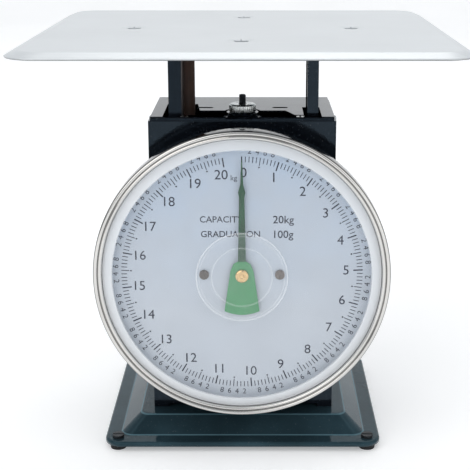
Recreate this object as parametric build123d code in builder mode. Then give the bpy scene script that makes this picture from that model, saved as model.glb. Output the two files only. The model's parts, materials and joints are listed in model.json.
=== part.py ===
from build123d import *
import os
from math import acos, atan, cos, hypot, pi, sin, tan

# Mechanical dial bench scale for 20 kg, with a square tray on a sprung load frame.
# Millimetres. +Z is up and the dial faces -Y. The origin is on the floor under the tray's centre.

# ---------------------------------------------------------------- driving dimensions
SHEET = 1.2                  # housing, base and pan sheet
FRAME_SHEET = 1.6            # load frame and link sheet

BASE_WIDTH, BASE_DEPTH, BASE_CORNER = 190.0, 156.0, 12.0
FOOT_HEIGHT, FOOT_RADIUS = 6.3, 6.2
FLANGE_TOP = FOOT_HEIGHT + SHEET
PLATEAU_TOP = 18.0
FLANGE_MARGIN, SLOPE_RUN, LIP_DROP = 10.5, 13.0, 3.3

HOUSING_WIDTH, HOUSING_DEPTH, HOUSING_TOP = 126.0, 86.0, 227.0
COVER_TOP = HOUSING_TOP - 2.5
FRONT, BACK = -HOUSING_DEPTH / 2, HOUSING_DEPTH / 2
PANEL_HALF = HOUSING_WIDTH / 2 - SHEET - 0.1
CORNER_TAB = 10.5            # the front wall stands on a tab this wide at each corner
BOTTOM_GAP = 2.5

DIAL_Z = 127.0
BEZEL_RADIUS, BEZEL_FRONT, BEZEL_BACK = 98.0, -81.0, -68.0
BEZEL_INNER = 91.8
PAN_RADIUS, PAN_FRONT = 96.9, -76.5
DIAL_RADIUS, DIAL_FRONT, DIAL_SHEET = 91.5, -73.6, 0.8
LENS_FLAT_RADIUS, LENS_SHEET, LENS_FRONT = 86.0, 1.4, -80.7
DIAL_SCREW_X = 25.1
POINTER_BACK, POINTER_SHEET = -75.9, 0.8

TRAVEL = 24.5                # load frame travel at full load
GEAR_MODULE, PINION_TEETH, PRESSURE_ANGLE = 0.5, 16, pi / 9
PINION_RADIUS = GEAR_MODULE * PINION_TEETH / 2
GEAR_FRONT, GEAR_BACK = -27.0, -22.0
TOOTH_THICKNESS = pi * GEAR_MODULE / 2 - 0.085

UPRIGHT_FRONT, UPRIGHT_BACK = -33.5, -6.5
LEFT_OUTER, LEFT_INNER = -49.8, -40.9
RIGHT_INNER, RIGHT_OUTER = 43.9, 51.4
UPRIGHT_BOTTOM = 44.0
SPRING_X, SPRING_Y, SPRING_RADIUS, SPRING_WIRE = 22.0, -21.5, 7.0, 1.0

TRAY_HALF, TRAY_CORNER, TRAY_TOP, TRAY_SHEET = 140.0, 22.0, 282.2, 1.0
TRAY_BORDER, TRAY_DROP, TRAY_HEM = 9.0, 3.6, 0.9
TRAY_SCREW_REACH = 75.0
SPIDER_TOP = TRAY_TOP - TRAY_SHEET
SPIDER_SHEET = 2.5
SPIDER_BOTTOM = SPIDER_TOP - SPIDER_SHEET

LINK_REAR_Y, LINK_FRONT_Y = 32.0, -16.0
UPPER_PIN_Z, LOWER_PIN_Z = 205.0, 70.0
LINK_RISE = TRAVEL / 2
LINK_SPAN = LINK_REAR_Y - LINK_FRONT_Y
LINK_ANGLE = atan(LINK_RISE / LINK_SPAN)
LEFT_ARM_X, RIGHT_ARM_X = -38.1, 42.7
ROD_RADIUS, PIN_RADIUS = 2.0, 2.5
RUNNING = 0.05               # radial clearance of a running fit
OPEN = 0.3                   # clearance between moving pieces

BRIDGE_TOP, BRIDGE_SHEET = 224.5, 3.0
BRIDGE_BOTTOM = BRIDGE_TOP - BRIDGE_SHEET
BRIDGE_SCREW_X, BRIDGE_SCREW_Y = 39.0, -37.9
STUD_RADIUS, STUD_TOP = 2.5, 239.0
NUT_RADIUS, NUT_HEIGHT = 9.3, 5.8
NUT_BOTTOM = HOUSING_TOP
YOKE_TOP, YOKE_BOTTOM = 209.0, 199.0

ARBOR_RADIUS = 2.0
SIDES = (-1, 1)

os.makedirs("parts", exist_ok=True)


def save(name, part):
    """Labels a finished piece and writes its STEP file."""
    part.label = name
    export_step(part, f"parts/{name}.step")


def level(height, x=0, y=0):
    """A level plane, facing up."""
    return Plane(origin=(x, y, height))


def facing_front(depth, x=0, z=0):
    """An upright plane that faces -Y, as the dial does: local x is right, local y is up."""
    return Plane(origin=(x, depth, z), x_dir=(1, 0, 0), z_dir=(0, -1, 0))


def on_dial_axis(depth, x=0):
    """The same plane, at the dial's height."""
    return facing_front(depth, x, DIAL_Z)


# The half plane that is turned about the dial's axis: local x is the radius, local y is +Y.
DIAL_SECTION = Plane(origin=(0, 0, DIAL_Z), x_dir=(1, 0, 0), z_dir=(0, 0, 1))
DIAL_AXIS = Axis((0, 0, DIAL_Z), (0, 1, 0))


def block(x_span, y_span, z_span, mode=Mode.ADD):
    """A box from its three spans, inside the open part."""
    spans = (x_span, y_span, z_span)
    with Locations(tuple((low + high) / 2 for low, high in spans)):
        Box(*(high - low for low, high in spans), mode=mode)


def rod(plane, radius, length, mode=Mode.ADD):
    """A round bar that starts on a plane and runs along its normal."""
    with BuildSketch(plane) as disc:
        Circle(radius)
    extrude(disc.sketch, amount=length, mode=mode)


# ---------------------------------------------------------------- base
FOOT_SPOTS = [
    (x * (BASE_WIDTH / 2 - 9), y * (BASE_DEPTH / 2 - 9)) for x in SIDES for y in SIDES
]
FRONT_BOLTS = [(x * 56.0, -35.0) for x in SIDES]
BACK_BOLTS = [(x * 50.0, 36.0) for x in SIDES]


def frustum(inset, low, high, mode):
    """The raised middle of the base between two heights, drawn in from the outer skin by inset."""
    foot = FLANGE_MARGIN + inset
    crown = FLANGE_MARGIN + SLOPE_RUN + inset
    with BuildSketch(level(low)) as lower:
        RectangleRounded(BASE_WIDTH - 2 * foot, BASE_DEPTH - 2 * foot, 7.0)
    with BuildSketch(level(high)) as upper:
        RectangleRounded(BASE_WIDTH - 2 * crown, BASE_DEPTH - 2 * crown, 4.0)
    loft([lower.sketch, upper.sketch], ruled=True, mode=mode)


with BuildPart() as base_pan:
    with BuildSketch(level(FLANGE_TOP)):
        RectangleRounded(BASE_WIDTH, BASE_DEPTH, BASE_CORNER)
    extrude(amount=-LIP_DROP)
    with BuildSketch(level(FOOT_HEIGHT)):
        RectangleRounded(BASE_WIDTH - 2 * SHEET, BASE_DEPTH - 2 * SHEET, BASE_CORNER - SHEET)
    extrude(amount=-LIP_DROP, mode=Mode.SUBTRACT)
    frustum(0, FLANGE_TOP - 0.6, PLATEAU_TOP, Mode.ADD)
    frustum(SHEET * 0.9, FOOT_HEIGHT, PLATEAU_TOP - SHEET, Mode.SUBTRACT)
    with Locations(*((x, y, FLANGE_TOP) for x, y in FOOT_SPOTS)):
        Hole(2.0, depth=2 * SHEET)
    with Locations(*((x, y, PLATEAU_TOP) for x, y in FRONT_BOLTS + BACK_BOLTS)):
        Hole(2.0, depth=2 * SHEET)
save("base_pan", base_pan.part)

with BuildPart() as rubber_feet:
    for x, y in FOOT_SPOTS:
        with Locations((x, y, FOOT_HEIGHT / 2)):
            Cone(FOOT_RADIUS - 0.8, FOOT_RADIUS, FOOT_HEIGHT)
            Cylinder(2.0, FOOT_HEIGHT, mode=Mode.SUBTRACT)
save("rubber_feet", rubber_feet.part)

with BuildPart() as foot_screws:
    for x, y in FOOT_SPOTS:
        head = level(FLANGE_TOP, x, y)
        rod(head, 4.0, 2.0)
        rod(head, 2.0, 1.5 - FOOT_HEIGHT)
        with Locations((x, y, FLANGE_TOP + 2.0)):
            Box(9.0, 1.1, 1.6, mode=Mode.SUBTRACT)
save("foot_screws", foot_screws.part)

# ---------------------------------------------------------------- housing
# The opening in the top: a slot along the front lip with a pocket at each end for an upright.
LIP = FRONT + 2.0
TOP_OPENING = [
    (-53.5, LIP), (53.5, LIP), (53.5, -4.0), (41.5, -4.0), (41.5, -33.5), (35.5, -33.5),
    (29.5, -17.0), (-29.5, -17.0), (-32.0, 9.0), (-53.5, 9.0),
]
SIDE_SCREWS = [(-14.0, 219.5), (-35.0, 150.0), (-35.0, 50.0)]
BACK_SCREWS = [(x * 30.0, z) for x in SIDES for z in (75.0, 180.0)]

with BuildPart() as front_top_panel:
    middle = SHEET / 2
    with BuildSketch(Plane.YZ):
        with BuildLine():
            FilletPolyline(
                (FRONT + middle, PLATEAU_TOP), (FRONT + middle, HOUSING_TOP - middle),
                (BACK - 2.0, HOUSING_TOP - middle), (BACK - 2.0, 214.0), radius=2.4,
            )
        trace(line_width=SHEET)
    extrude(amount=PANEL_HALF, both=True)
    # The folded edges that the side cover is screwed to, and the corner tabs on the base.
    for side in SIDES:
        edge = sorted((side * PANEL_HALF, side * (PANEL_HALF - SHEET)))
        block(edge, (FRONT + 3.0, BACK - 5.0), (211.0, HOUSING_TOP - SHEET))
        block(edge, (FRONT + SHEET, -29.0), (PLATEAU_TOP, 211.0))
        tab = sorted((side * PANEL_HALF, side * (HOUSING_WIDTH / 2 - CORNER_TAB)))
        block(tab, (FRONT + SHEET, -29.0), (PLATEAU_TOP, PLATEAU_TOP + SHEET))
    gap = HOUSING_WIDTH / 2 - CORNER_TAB
    block((-gap, gap), (FRONT - 1, FRONT + 2), (PLATEAU_TOP - 1, PLATEAU_TOP + BOTTOM_GAP), Mode.SUBTRACT)
    for cut in ((-62, -58.5), (-16, 16), (58.5, 62)):
        block(cut, (BACK - 3, BACK), (213.0, HOUSING_TOP - SHEET), Mode.SUBTRACT)
    with BuildSketch(level(HOUSING_TOP + 1)):
        Polygon(*TOP_OPENING, align=None)
        with Locations((0, SPRING_Y + 1.5)):
            Circle(12.5)
        with Locations((-26.0, -5.5), (26.0, -5.5)):
            SlotOverall(11.0, 4.5)
    extrude(amount=-1 - 2 * SHEET, mode=Mode.SUBTRACT)
    with BuildSketch(on_dial_axis(FRONT - 1)):
        Circle(5.0)
        with Locations((-DIAL_SCREW_X, 0), (DIAL_SCREW_X, 0)):
            Circle(1.5)
    extrude(amount=-4, mode=Mode.SUBTRACT)
    with Locations(*((x, y, PLATEAU_TOP + SHEET) for x, y in FRONT_BOLTS)):
        Hole(2.0, depth=2 * SHEET)
    for y, z in SIDE_SCREWS:
        with Locations(Location((0, y, z), (0, 90, 0))):
            Cylinder(2.0, HOUSING_WIDTH, mode=Mode.SUBTRACT)
save("front_top_panel", front_top_panel.part)

with BuildPart() as side_back_cover:
    half = HOUSING_WIDTH / 2 - SHEET / 2
    with BuildSketch(level(PLATEAU_TOP)):
        with BuildLine():
            FilletPolyline(
                (-half, FRONT), (-half, BACK - SHEET / 2), (half, BACK - SHEET / 2), (half, FRONT),
                radius=2.6,
            )
        trace(line_width=SHEET)
    extrude(amount=COVER_TOP - PLATEAU_TOP)
    block((-57, 57), (29.0, BACK - SHEET), (PLATEAU_TOP, PLATEAU_TOP + SHEET))
    with Locations(*((x, y, PLATEAU_TOP + SHEET) for x, y in BACK_BOLTS)):
        Hole(2.0, depth=2 * SHEET)
    for y, z in SIDE_SCREWS:
        with Locations(Location((0, y, z), (0, 90, 0))):
            Cylinder(2.0, HOUSING_WIDTH + 2, mode=Mode.SUBTRACT)
    for x, z in BACK_SCREWS:
        rod(facing_front(BACK + 1, x, z), 2.0, 4, Mode.SUBTRACT)
save("side_back_cover", side_back_cover.part)

with BuildPart() as side_screws:
    for side in SIDES:
        for y, z in SIDE_SCREWS:
            outer = Plane(origin=(side * HOUSING_WIDTH / 2, y, z), z_dir=(side, 0, 0))
            rod(outer, 3.5, 1.9)
            rod(outer, 2.0, -5.0)
    fillet(side_screws.faces().filter_by(Axis.X).group_by(Axis.X)[0].edges(), 1.0)
    fillet(side_screws.faces().filter_by(Axis.X).group_by(Axis.X)[-1].edges(), 1.0)
save("side_screws", side_screws.part)

with BuildPart() as housing_bolts:
    for x, y in FRONT_BOLTS + BACK_BOLTS:
        under = level(PLATEAU_TOP - SHEET, x, y)
        rod(under, 3.6, -2.4)
        rod(under, 2.0, 7.6)
save("housing_bolts", housing_bolts.part)

with BuildPart() as housing_nuts:
    for x, y in FRONT_BOLTS + BACK_BOLTS:
        with BuildSketch(level(PLATEAU_TOP + SHEET, x, y)):
            RegularPolygon(4.0, 6)
            Circle(2.0, mode=Mode.SUBTRACT)
        extrude(amount=3.0)
save("housing_nuts", housing_nuts.part)

# ---------------------------------------------------------------- rear bracket, bridge
INSIDE_BACK = BACK - SHEET
EAR_LEFT, EAR_RIGHT = (-43.5, -42.0), (46.0, 47.5)
UPPER_ROD_Z, LOWER_ROD_Z = UPPER_PIN_Z - LINK_RISE, LOWER_PIN_Z - LINK_RISE

with BuildPart() as rear_bracket:
    block((EAR_LEFT[0], EAR_RIGHT[1]), (INSIDE_BACK - 1.5, INSIDE_BACK), (45.0, 207.0))
    for ear in (EAR_LEFT, EAR_RIGHT):
        block(ear, (26.0, INSIDE_BACK), (45.0, 207.0))
    block((-13, 13), (INSIDE_BACK - 1.5, INSIDE_BACK), (207.0, BRIDGE_BOTTOM))
    block((-13, 13), (28.0, INSIDE_BACK), (BRIDGE_BOTTOM - 1.5, BRIDGE_BOTTOM))
    for z in (UPPER_ROD_Z, LOWER_ROD_Z):
        with Locations(Location((0, LINK_REAR_Y, z), (0, 90, 0))):
            Cylinder(ROD_RADIUS, HOUSING_WIDTH, mode=Mode.SUBTRACT)
    for x, z in BACK_SCREWS:
        rod(facing_front(BACK + 1, x, z), 2.0, 6, Mode.SUBTRACT)
    with Locations((0, 34.0, BRIDGE_BOTTOM)):
        Hole(2.0, depth=3)
save("rear_bracket", rear_bracket.part)

with BuildPart() as back_screws:
    for x, z in BACK_SCREWS:
        rod(Plane(origin=(x, BACK, z), z_dir=(0, 1, 0)), 3.6, 2.0)
        rod(Plane(origin=(x, BACK, z), z_dir=(0, 1, 0)), 2.0, -6.0)
    fillet(back_screws.faces().filter_by(Axis.Y).group_by(Axis.Y)[-1].edges(), 1.0)
save("back_screws", back_screws.part)

with BuildPart() as pivot_rods:
    for z in (UPPER_ROD_Z, LOWER_ROD_Z):
        left_end = Plane(origin=(EAR_LEFT[0], LINK_REAR_Y, z), z_dir=(1, 0, 0))
        rod(left_end, ROD_RADIUS, EAR_RIGHT[1] - EAR_LEFT[0])
        rod(left_end, 3.4, -1.4)
        rod(Plane(origin=(EAR_RIGHT[1], LINK_REAR_Y, z), z_dir=(1, 0, 0)), 3.4, 1.4)
save("pivot_rods", pivot_rods.part)

with BuildPart() as bridge_brackets:
    for side in SIDES:
        width = sorted((side * (BRIDGE_SCREW_X - 5), side * (BRIDGE_SCREW_X + 5)))
        block(width, (FRONT + SHEET, FRONT + SHEET + 1.6), (204.0, BRIDGE_BOTTOM))
        block(width, (FRONT + SHEET, -34.7), (BRIDGE_BOTTOM - 1.6, BRIDGE_BOTTOM))
        with Locations((side * BRIDGE_SCREW_X, BRIDGE_SCREW_Y, BRIDGE_BOTTOM)):
            Hole(1.8, depth=3)
save("bridge_brackets", bridge_brackets.part)

BRIDGE_SPOTS = [(x * BRIDGE_SCREW_X, BRIDGE_SCREW_Y) for x in SIDES]
with BuildPart() as spring_bridge:
    with BuildSketch(level(BRIDGE_BOTTOM)):
        Polygon(
            (-45, FRONT + 1.6), (45, FRONT + 1.6), (45, -34.8), (20, -34.8), (13, -30),
            (13, 39), (-13, 39), (-13, -30), (-20, -34.8), (-45, -34.8), align=None,
        )
    extrude(amount=BRIDGE_SHEET)
    for side in SIDES:
        block(sorted((side * 13, side * 11)), (-30, 27.5), (212.0, BRIDGE_BOTTOM))
    with Locations((0, SPRING_Y, BRIDGE_TOP)):
        Hole(STUD_RADIUS + OPEN, depth=4)
    with Locations(*((x, y, BRIDGE_TOP) for x, y in BRIDGE_SPOTS)):
        Hole(1.8, depth=4)
    with Locations((0, 34.0, BRIDGE_TOP)):
        Hole(2.0, depth=4)
save("spring_bridge", spring_bridge.part)

with BuildPart() as bridge_screws:
    for x, y in BRIDGE_SPOTS:
        rod(level(BRIDGE_TOP, x, y), 2.8, 2.2)
        rod(level(BRIDGE_TOP, x, y), 1.8, -7.0)
        with Locations((x, y, BRIDGE_TOP + 2.2)):
            Box(1.0, 7.0, 1.6, mode=Mode.SUBTRACT)
            Box(7.0, 1.0, 1.6, mode=Mode.SUBTRACT)
save("bridge_screws", bridge_screws.part)

with BuildPart() as bridge_rivet:
    rod(level(BRIDGE_TOP, 0, 34.0), 3.4, 1.1)
    rod(level(BRIDGE_TOP, 0, 34.0), 2.0, -6.0)
save("bridge_rivet", bridge_rivet.part)

# ---------------------------------------------------------------- zero adjuster and springs
with BuildPart() as nut_washer:
    with BuildSketch(Plane.XZ.offset(-SPRING_Y)):
        with BuildLine():
            Polyline(
                (STUD_RADIUS + OPEN, BRIDGE_TOP), (9.4, BRIDGE_TOP), (10.8, NUT_BOTTOM - 0.9),
                (10.8, NUT_BOTTOM), (STUD_RADIUS + OPEN, NUT_BOTTOM), close=True,
            )
        make_face()
    revolve(axis=Axis((0, SPRING_Y, 0), (0, 0, 1)))
save("nut_washer", nut_washer.part)

NUT_FLUTES = 30
with BuildPart() as zero_nut:
    with BuildSketch(level(NUT_BOTTOM, 0, SPRING_Y)):
        Circle(NUT_RADIUS)
    extrude(amount=NUT_HEIGHT)
    chamfer(zero_nut.faces().filter_by(Axis.Z).edges(), 0.7)
    with BuildSketch(level(NUT_BOTTOM, 0, SPRING_Y)):
        with PolarLocations(NUT_RADIUS + 0.25, NUT_FLUTES):
            Circle(0.6)
        Circle(STUD_RADIUS + RUNNING)
    extrude(amount=NUT_HEIGHT, mode=Mode.SUBTRACT)
save("zero_nut", zero_nut.part)

with BuildPart() as zero_stud:
    rod(level(YOKE_BOTTOM + 1, 0, SPRING_Y), STUD_RADIUS, STUD_TOP - YOKE_BOTTOM - 1)
    chamfer(zero_stud.faces().sort_by(Axis.Z)[-1].edges(), 0.6)
    rod(level(STUD_TOP, 0, SPRING_Y), 1.1, -0.9, Mode.SUBTRACT)
save("zero_stud", zero_stud.part)

UPPER_EYE_Z, LOWER_EYE_Z, EYE_RADIUS = 204.0, 53.0, 2.6
with BuildPart() as spring_yoke:
    block((-29, 29), (SPRING_Y - 1.5, SPRING_Y + 1.5), (YOKE_BOTTOM, YOKE_TOP))
    fillet(spring_yoke.edges().filter_by(Axis.Y), 3.0)
    block((-6, 6), (SPRING_Y - 4.5, SPRING_Y + 4.5), (YOKE_BOTTOM, YOKE_TOP))
    with BuildSketch(facing_front(SPRING_Y - 3)):
        with Locations((-SPRING_X, UPPER_EYE_Z), (SPRING_X, UPPER_EYE_Z)):
            Circle(EYE_RADIUS)
    extrude(amount=-6, mode=Mode.SUBTRACT)
    with Locations((0, SPRING_Y, YOKE_TOP)):
        Hole(STUD_RADIUS, depth=YOKE_TOP - YOKE_BOTTOM - 1)
save("spring_yoke", spring_yoke.part)

UPPER_HOOK_Z = UPPER_EYE_Z - EYE_RADIUS + SPRING_WIRE + 0.35 - SPRING_RADIUS
LOWER_HOOK_Z = LOWER_EYE_Z + EYE_RADIUS - SPRING_WIRE - 0.35 + SPRING_RADIUS
COIL_TURNS = 24.06           # a little over, so that the wire runs on past both end rings
COIL_START = 80.0            # degrees round from +X
HOOK_WIRE = 0.9 * SPRING_WIRE


def extension_spring(x):
    """A wire coil with a full ring at each end, hooked into the yoke above and the crossbar below."""
    with BuildPart() as spring:
        height = UPPER_HOOK_Z - LOWER_HOOK_Z
        with BuildLine():
            coil = Helix(height / COIL_TURNS, height, SPRING_RADIUS, center=(x, SPRING_Y, LOWER_HOOK_Z))
        with BuildSketch(Plane(origin=coil @ 0, z_dir=coil % 0)):
            Circle(SPRING_WIRE)
        sweep(path=coil, is_frenet=True)
    with BuildPart() as hooks:
        for z in (UPPER_HOOK_Z, LOWER_HOOK_Z):
            with Locations(Location((x, SPRING_Y, z), (0, 90, 0))):
                Torus(SPRING_RADIUS, HOOK_WIRE)
    return spring.part.rotate(Axis((x, SPRING_Y, 0), (0, 0, 1)), COIL_START) + hooks.part


for name, x in (("left_spring", -SPRING_X), ("right_spring", SPRING_X)):
    save(name, extension_spring(x))

# ---------------------------------------------------------------- dial, lens and bezel
def dial_turning(points):
    """A closed profile of (radius, y) points turned about the dial's axis."""
    with BuildSketch(DIAL_SECTION) as profile:
        with BuildLine():
            Polyline(*points, close=True)
        make_face()
    revolve(profile.sketch, axis=DIAL_AXIS)


with BuildPart() as dial_pan:
    dial_turning([
        (0, FRONT), (87, FRONT), (93, FRONT - 6), (PAN_RADIUS, -62), (PAN_RADIUS, PAN_FRONT),
        (PAN_RADIUS - SHEET, PAN_FRONT), (PAN_RADIUS - SHEET, -62), (93 - SHEET, FRONT - 6.5),
        (86.5, FRONT - SHEET), (0, FRONT - SHEET),
    ])
    with BuildSketch(on_dial_axis(FRONT + 1)):
        Circle(5.0)
        with Locations((-DIAL_SCREW_X, 0), (DIAL_SCREW_X, 0)):
            Circle(1.5)
    extrude(amount=4, mode=Mode.SUBTRACT)
save("dial_pan", dial_pan.part)

with BuildPart() as dial_plate:
    with BuildSketch(on_dial_axis(DIAL_FRONT + DIAL_SHEET)):
        Circle(DIAL_RADIUS)
        Circle(5.0, mode=Mode.SUBTRACT)
        with Locations((-DIAL_SCREW_X, 0), (DIAL_SCREW_X, 0)):
            Circle(1.5, mode=Mode.SUBTRACT)
    extrude(amount=DIAL_SHEET)
save("dial_plate", dial_plate.part)

POST_LENGTH = FRONT - SHEET - (DIAL_FRONT + DIAL_SHEET)
with BuildPart() as dial_posts:
    for side in SIDES:
        with BuildSketch(on_dial_axis(FRONT - SHEET, side * DIAL_SCREW_X)):
            RegularPolygon(4.0, 6)
            Circle(1.5, mode=Mode.SUBTRACT)
        extrude(amount=POST_LENGTH)
save("dial_posts", dial_posts.part)

with BuildPart() as dial_screws:
    for side in SIDES:
        face = on_dial_axis(DIAL_FRONT, side * DIAL_SCREW_X)
        rod(face, 3.2, 1.6)
        rod(face, 1.5, -9.0)
        with BuildSketch(face.offset(1.0)):
            Rectangle(0.9, 8.0, rotation=-20 * side)
        extrude(amount=1.0, mode=Mode.SUBTRACT)
save("dial_screws", dial_screws.part)

LENS_RIM_BACK = PAN_FRONT
LENS_RIM_FRONT = PAN_FRONT - 1.5
with BuildPart() as lens:
    dial_turning([
        (0, LENS_FRONT), (LENS_FLAT_RADIUS, LENS_FRONT), (BEZEL_INNER - 0.6, LENS_RIM_FRONT),
        (PAN_RADIUS - 0.1, LENS_RIM_FRONT), (PAN_RADIUS - 0.1, LENS_RIM_BACK),
        (BEZEL_INNER - 1.2, LENS_RIM_BACK), (LENS_FLAT_RADIUS - 0.6, LENS_FRONT + LENS_SHEET),
        (0, LENS_FRONT + LENS_SHEET),
    ])
    with BuildSketch(on_dial_axis(LENS_FRONT + 0.2)):
        for ring in (30.0, 20.0):
            Circle(ring + 0.35)
            Circle(ring - 0.35, mode=Mode.SUBTRACT)
    extrude(amount=0.5)
save("lens", lens.part)

with BuildPart() as bezel:
    with BuildSketch(DIAL_SECTION):
        with BuildLine():
            Polyline(
                (BEZEL_INNER, LENS_RIM_FRONT), (PAN_RADIUS + 0.1, LENS_RIM_FRONT),
                (PAN_RADIUS + 0.1, BEZEL_BACK), (BEZEL_RADIUS, BEZEL_BACK), (BEZEL_RADIUS, -77.6),
            )
            ThreePointArc((BEZEL_RADIUS, -77.6), (97.0, -80.05), (94.7, BEZEL_FRONT))
            ThreePointArc((94.7, BEZEL_FRONT), (92.7, -80.3), (BEZEL_INNER, LENS_RIM_FRONT))
        make_face()
    revolve(axis=DIAL_AXIS)
save("bezel", bezel.part)

# ---------------------------------------------------------------- movement
BRACKET_HALF, BRACKET_REAR = 12.5, -12.0
with BuildPart() as movement_bracket:
    block((-BRACKET_HALF, BRACKET_HALF), (BRACKET_REAR - 1.5, BRACKET_REAR), (114.0, 140.0))
    for side in SIDES:
        arm = sorted((side * BRACKET_HALF, side * (BRACKET_HALF - 1.5)))
        block(arm, (FRONT + SHEET, BRACKET_REAR), (117.0, 137.0))
        flange = sorted((side * BRACKET_HALF, side * 32))
        block(flange, (FRONT + SHEET, FRONT + SHEET + 1.5), (117.0, 137.0))
    with BuildSketch(on_dial_axis(BRACKET_REAR + 1)):
        Circle(4.0)
    extrude(amount=4, mode=Mode.SUBTRACT)
    with BuildSketch(on_dial_axis(FRONT + SHEET + 3)):
        with Locations((-DIAL_SCREW_X, 0), (DIAL_SCREW_X, 0)):
            Circle(1.5)
    extrude(amount=4, mode=Mode.SUBTRACT)
save("movement_bracket", movement_bracket.part)

with BuildPart() as movement_screws:
    for side in SIDES:
        inner = on_dial_axis(FRONT + SHEET + 1.5, side * DIAL_SCREW_X)
        rod(inner, 3.0, -2.0)
        rod(inner, 1.5, 12.0)
save("movement_screws", movement_screws.part)

with BuildPart() as rack_guide:
    block((10.3, BRACKET_HALF - 1.5), (GEAR_FRONT + 0.5, GEAR_BACK - 0.5), (121.0, 133.0))
save("rack_guide", rack_guide.part)

with BuildPart() as front_bush:
    rod(on_dial_axis(FRONT + SHEET), 5.0, 2 * SHEET)
    rod(on_dial_axis(FRONT + SHEET), 7.0, -1.2)
    rod(on_dial_axis(FRONT + 4), ARBOR_RADIUS + RUNNING, 9, Mode.SUBTRACT)
save("front_bush", front_bush.part)

with BuildPart() as rear_bush:
    rod(on_dial_axis(BRACKET_REAR), 4.0, 1.5)
    rod(on_dial_axis(BRACKET_REAR), 5.5, -1.2)
    rod(on_dial_axis(BRACKET_REAR + 4), ARBOR_RADIUS + RUNNING, 9, Mode.SUBTRACT)
save("rear_bush", rear_bush.part)

ARBOR_FRONT, ARBOR_REAR = -77.6, -9.5
with BuildPart() as arbor:
    rod(on_dial_axis(ARBOR_REAR), ARBOR_RADIUS, ARBOR_REAR - ARBOR_FRONT)
save("arbor", arbor.part)

with BuildPart() as arbor_collar:
    with BuildSketch(on_dial_axis(-37.0)):
        Circle(4.0)
        Circle(ARBOR_RADIUS, mode=Mode.SUBTRACT)
    extrude(amount=2.5)
save("arbor_collar", arbor_collar.part)


def involute(radius):
    """The involute function at a radius of the pinion."""
    angle = acos(PINION_RADIUS * cos(PRESSURE_ANGLE) / radius)
    return tan(angle) - angle


def pinion_outline():
    """Corner points of the pinion's teeth, with a gap facing the rack along +X."""
    tip, base = PINION_RADIUS + GEAR_MODULE, PINION_RADIUS * cos(PRESSURE_ANGLE) + 0.005
    root = PINION_RADIUS - 1.25 * GEAR_MODULE
    flank = [base + (tip - base) * step / 4 for step in range(5)]
    widths = [
        TOOTH_THICKNESS / 2 / PINION_RADIUS + involute(PINION_RADIUS) - involute(radius)
        for radius in flank
    ]
    side = [(root, widths[0])] + list(zip(flank, widths))
    points = []
    for tooth in range(PINION_TEETH):
        middle = 2 * pi * (tooth + 0.5) / PINION_TEETH
        rising = [(radius, middle - width) for radius, width in side]
        falling = [(radius, middle + width) for radius, width in reversed(side)]
        points += [(radius * cos(angle), radius * sin(angle)) for radius, angle in rising + falling]
    return points


with BuildPart() as pinion:
    with BuildSketch(on_dial_axis(GEAR_BACK)):
        Polygon(*pinion_outline(), align=None)
        Circle(ARBOR_RADIUS, mode=Mode.SUBTRACT)
    extrude(amount=GEAR_BACK - GEAR_FRONT)
save("pinion", pinion.part)

RACK_BACK, RACK_SHEET, RACK_OUTER = SPRING_Y - 1.5, 3.0, 10.0
RACK_PITCH = pi * GEAR_MODULE
TEETH_BELOW, TEETH_ABOVE = 4, 20
ADDENDUM, DEDENDUM = GEAR_MODULE, 1.2 * GEAR_MODULE


def rack_outline():
    """Corner points of the rack: a plain bar with trapezoid teeth on the edge by the pinion."""
    tip, root = PINION_RADIUS - ADDENDUM, PINION_RADIUS + DEDENDUM
    half_tip = TOOTH_THICKNESS / 2 - ADDENDUM * tan(PRESSURE_ANGLE)
    half_root = TOOTH_THICKNESS / 2 + DEDENDUM * tan(PRESSURE_ANGLE)
    points = [(RACK_OUTER, 46.0 - DIAL_Z), (root, 46.0 - DIAL_Z)]
    for tooth in range(-TEETH_BELOW, TEETH_ABOVE + 1):
        middle = tooth * RACK_PITCH
        points += [(root, middle - half_root), (tip, middle - half_tip)]
        points += [(tip, middle + half_tip), (root, middle + half_root)]
    top = (TEETH_ABOVE + 1) * RACK_PITCH
    return points + [(root, top), (RACK_OUTER, top)]


RACK_SCREW_Z = (49.0, 55.0)
with BuildPart() as rack:
    with BuildSketch(on_dial_axis(RACK_BACK)):
        Polygon(*rack_outline(), align=None)
    extrude(amount=RACK_SHEET)
    with BuildSketch(facing_front(RACK_BACK)):
        with Locations(*((7.3, z) for z in RACK_SCREW_Z)):
            Circle(1.25)
    extrude(amount=RACK_SHEET, mode=Mode.SUBTRACT)
save("rack", rack.part)

with BuildPart() as rack_screws:
    for z in RACK_SCREW_Z:
        face = facing_front(RACK_BACK - RACK_SHEET, 7.3, z)
        rod(face, 2.3, 1.6)
        rod(face, 1.25, -6.0)
save("rack_screws", rack_screws.part)

# ---------------------------------------------------------------- pointer
POINTER_TIP, HEAD_START, HEAD_WIDE = 78.0, 62.0, 56.6
POINTER_OUTLINE = [
    (0.35, POINTER_TIP), (1.0, HEAD_START), (2.4, HEAD_WIDE), (1.75, 53.6), (2.6, 10.0),
    (5.6, 8.0), (7.7, 3.0), (11.7, -24.8),
]

with BuildPart() as pointer:
    with BuildSketch(on_dial_axis(POINTER_BACK)):
        with BuildLine():
            right = Polyline(*POINTER_OUTLINE)
            left = Polyline(*((-x, z) for x, z in POINTER_OUTLINE))
            Line(right @ 0, left @ 0)
            ThreePointArc(right @ 1, (0, -hypot(*POINTER_OUTLINE[-1])), left @ 1)
        make_face()
        Circle(ARBOR_RADIUS, mode=Mode.SUBTRACT)
    extrude(amount=POINTER_SHEET)
save("pointer", pointer.part)

with BuildPart() as pointer_boss:
    with BuildSketch(on_dial_axis(POINTER_BACK)):
        Circle(4.0)
        Circle(ARBOR_RADIUS, mode=Mode.SUBTRACT)
    extrude(amount=-1.8)
save("pointer_boss", pointer_boss.part)

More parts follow.
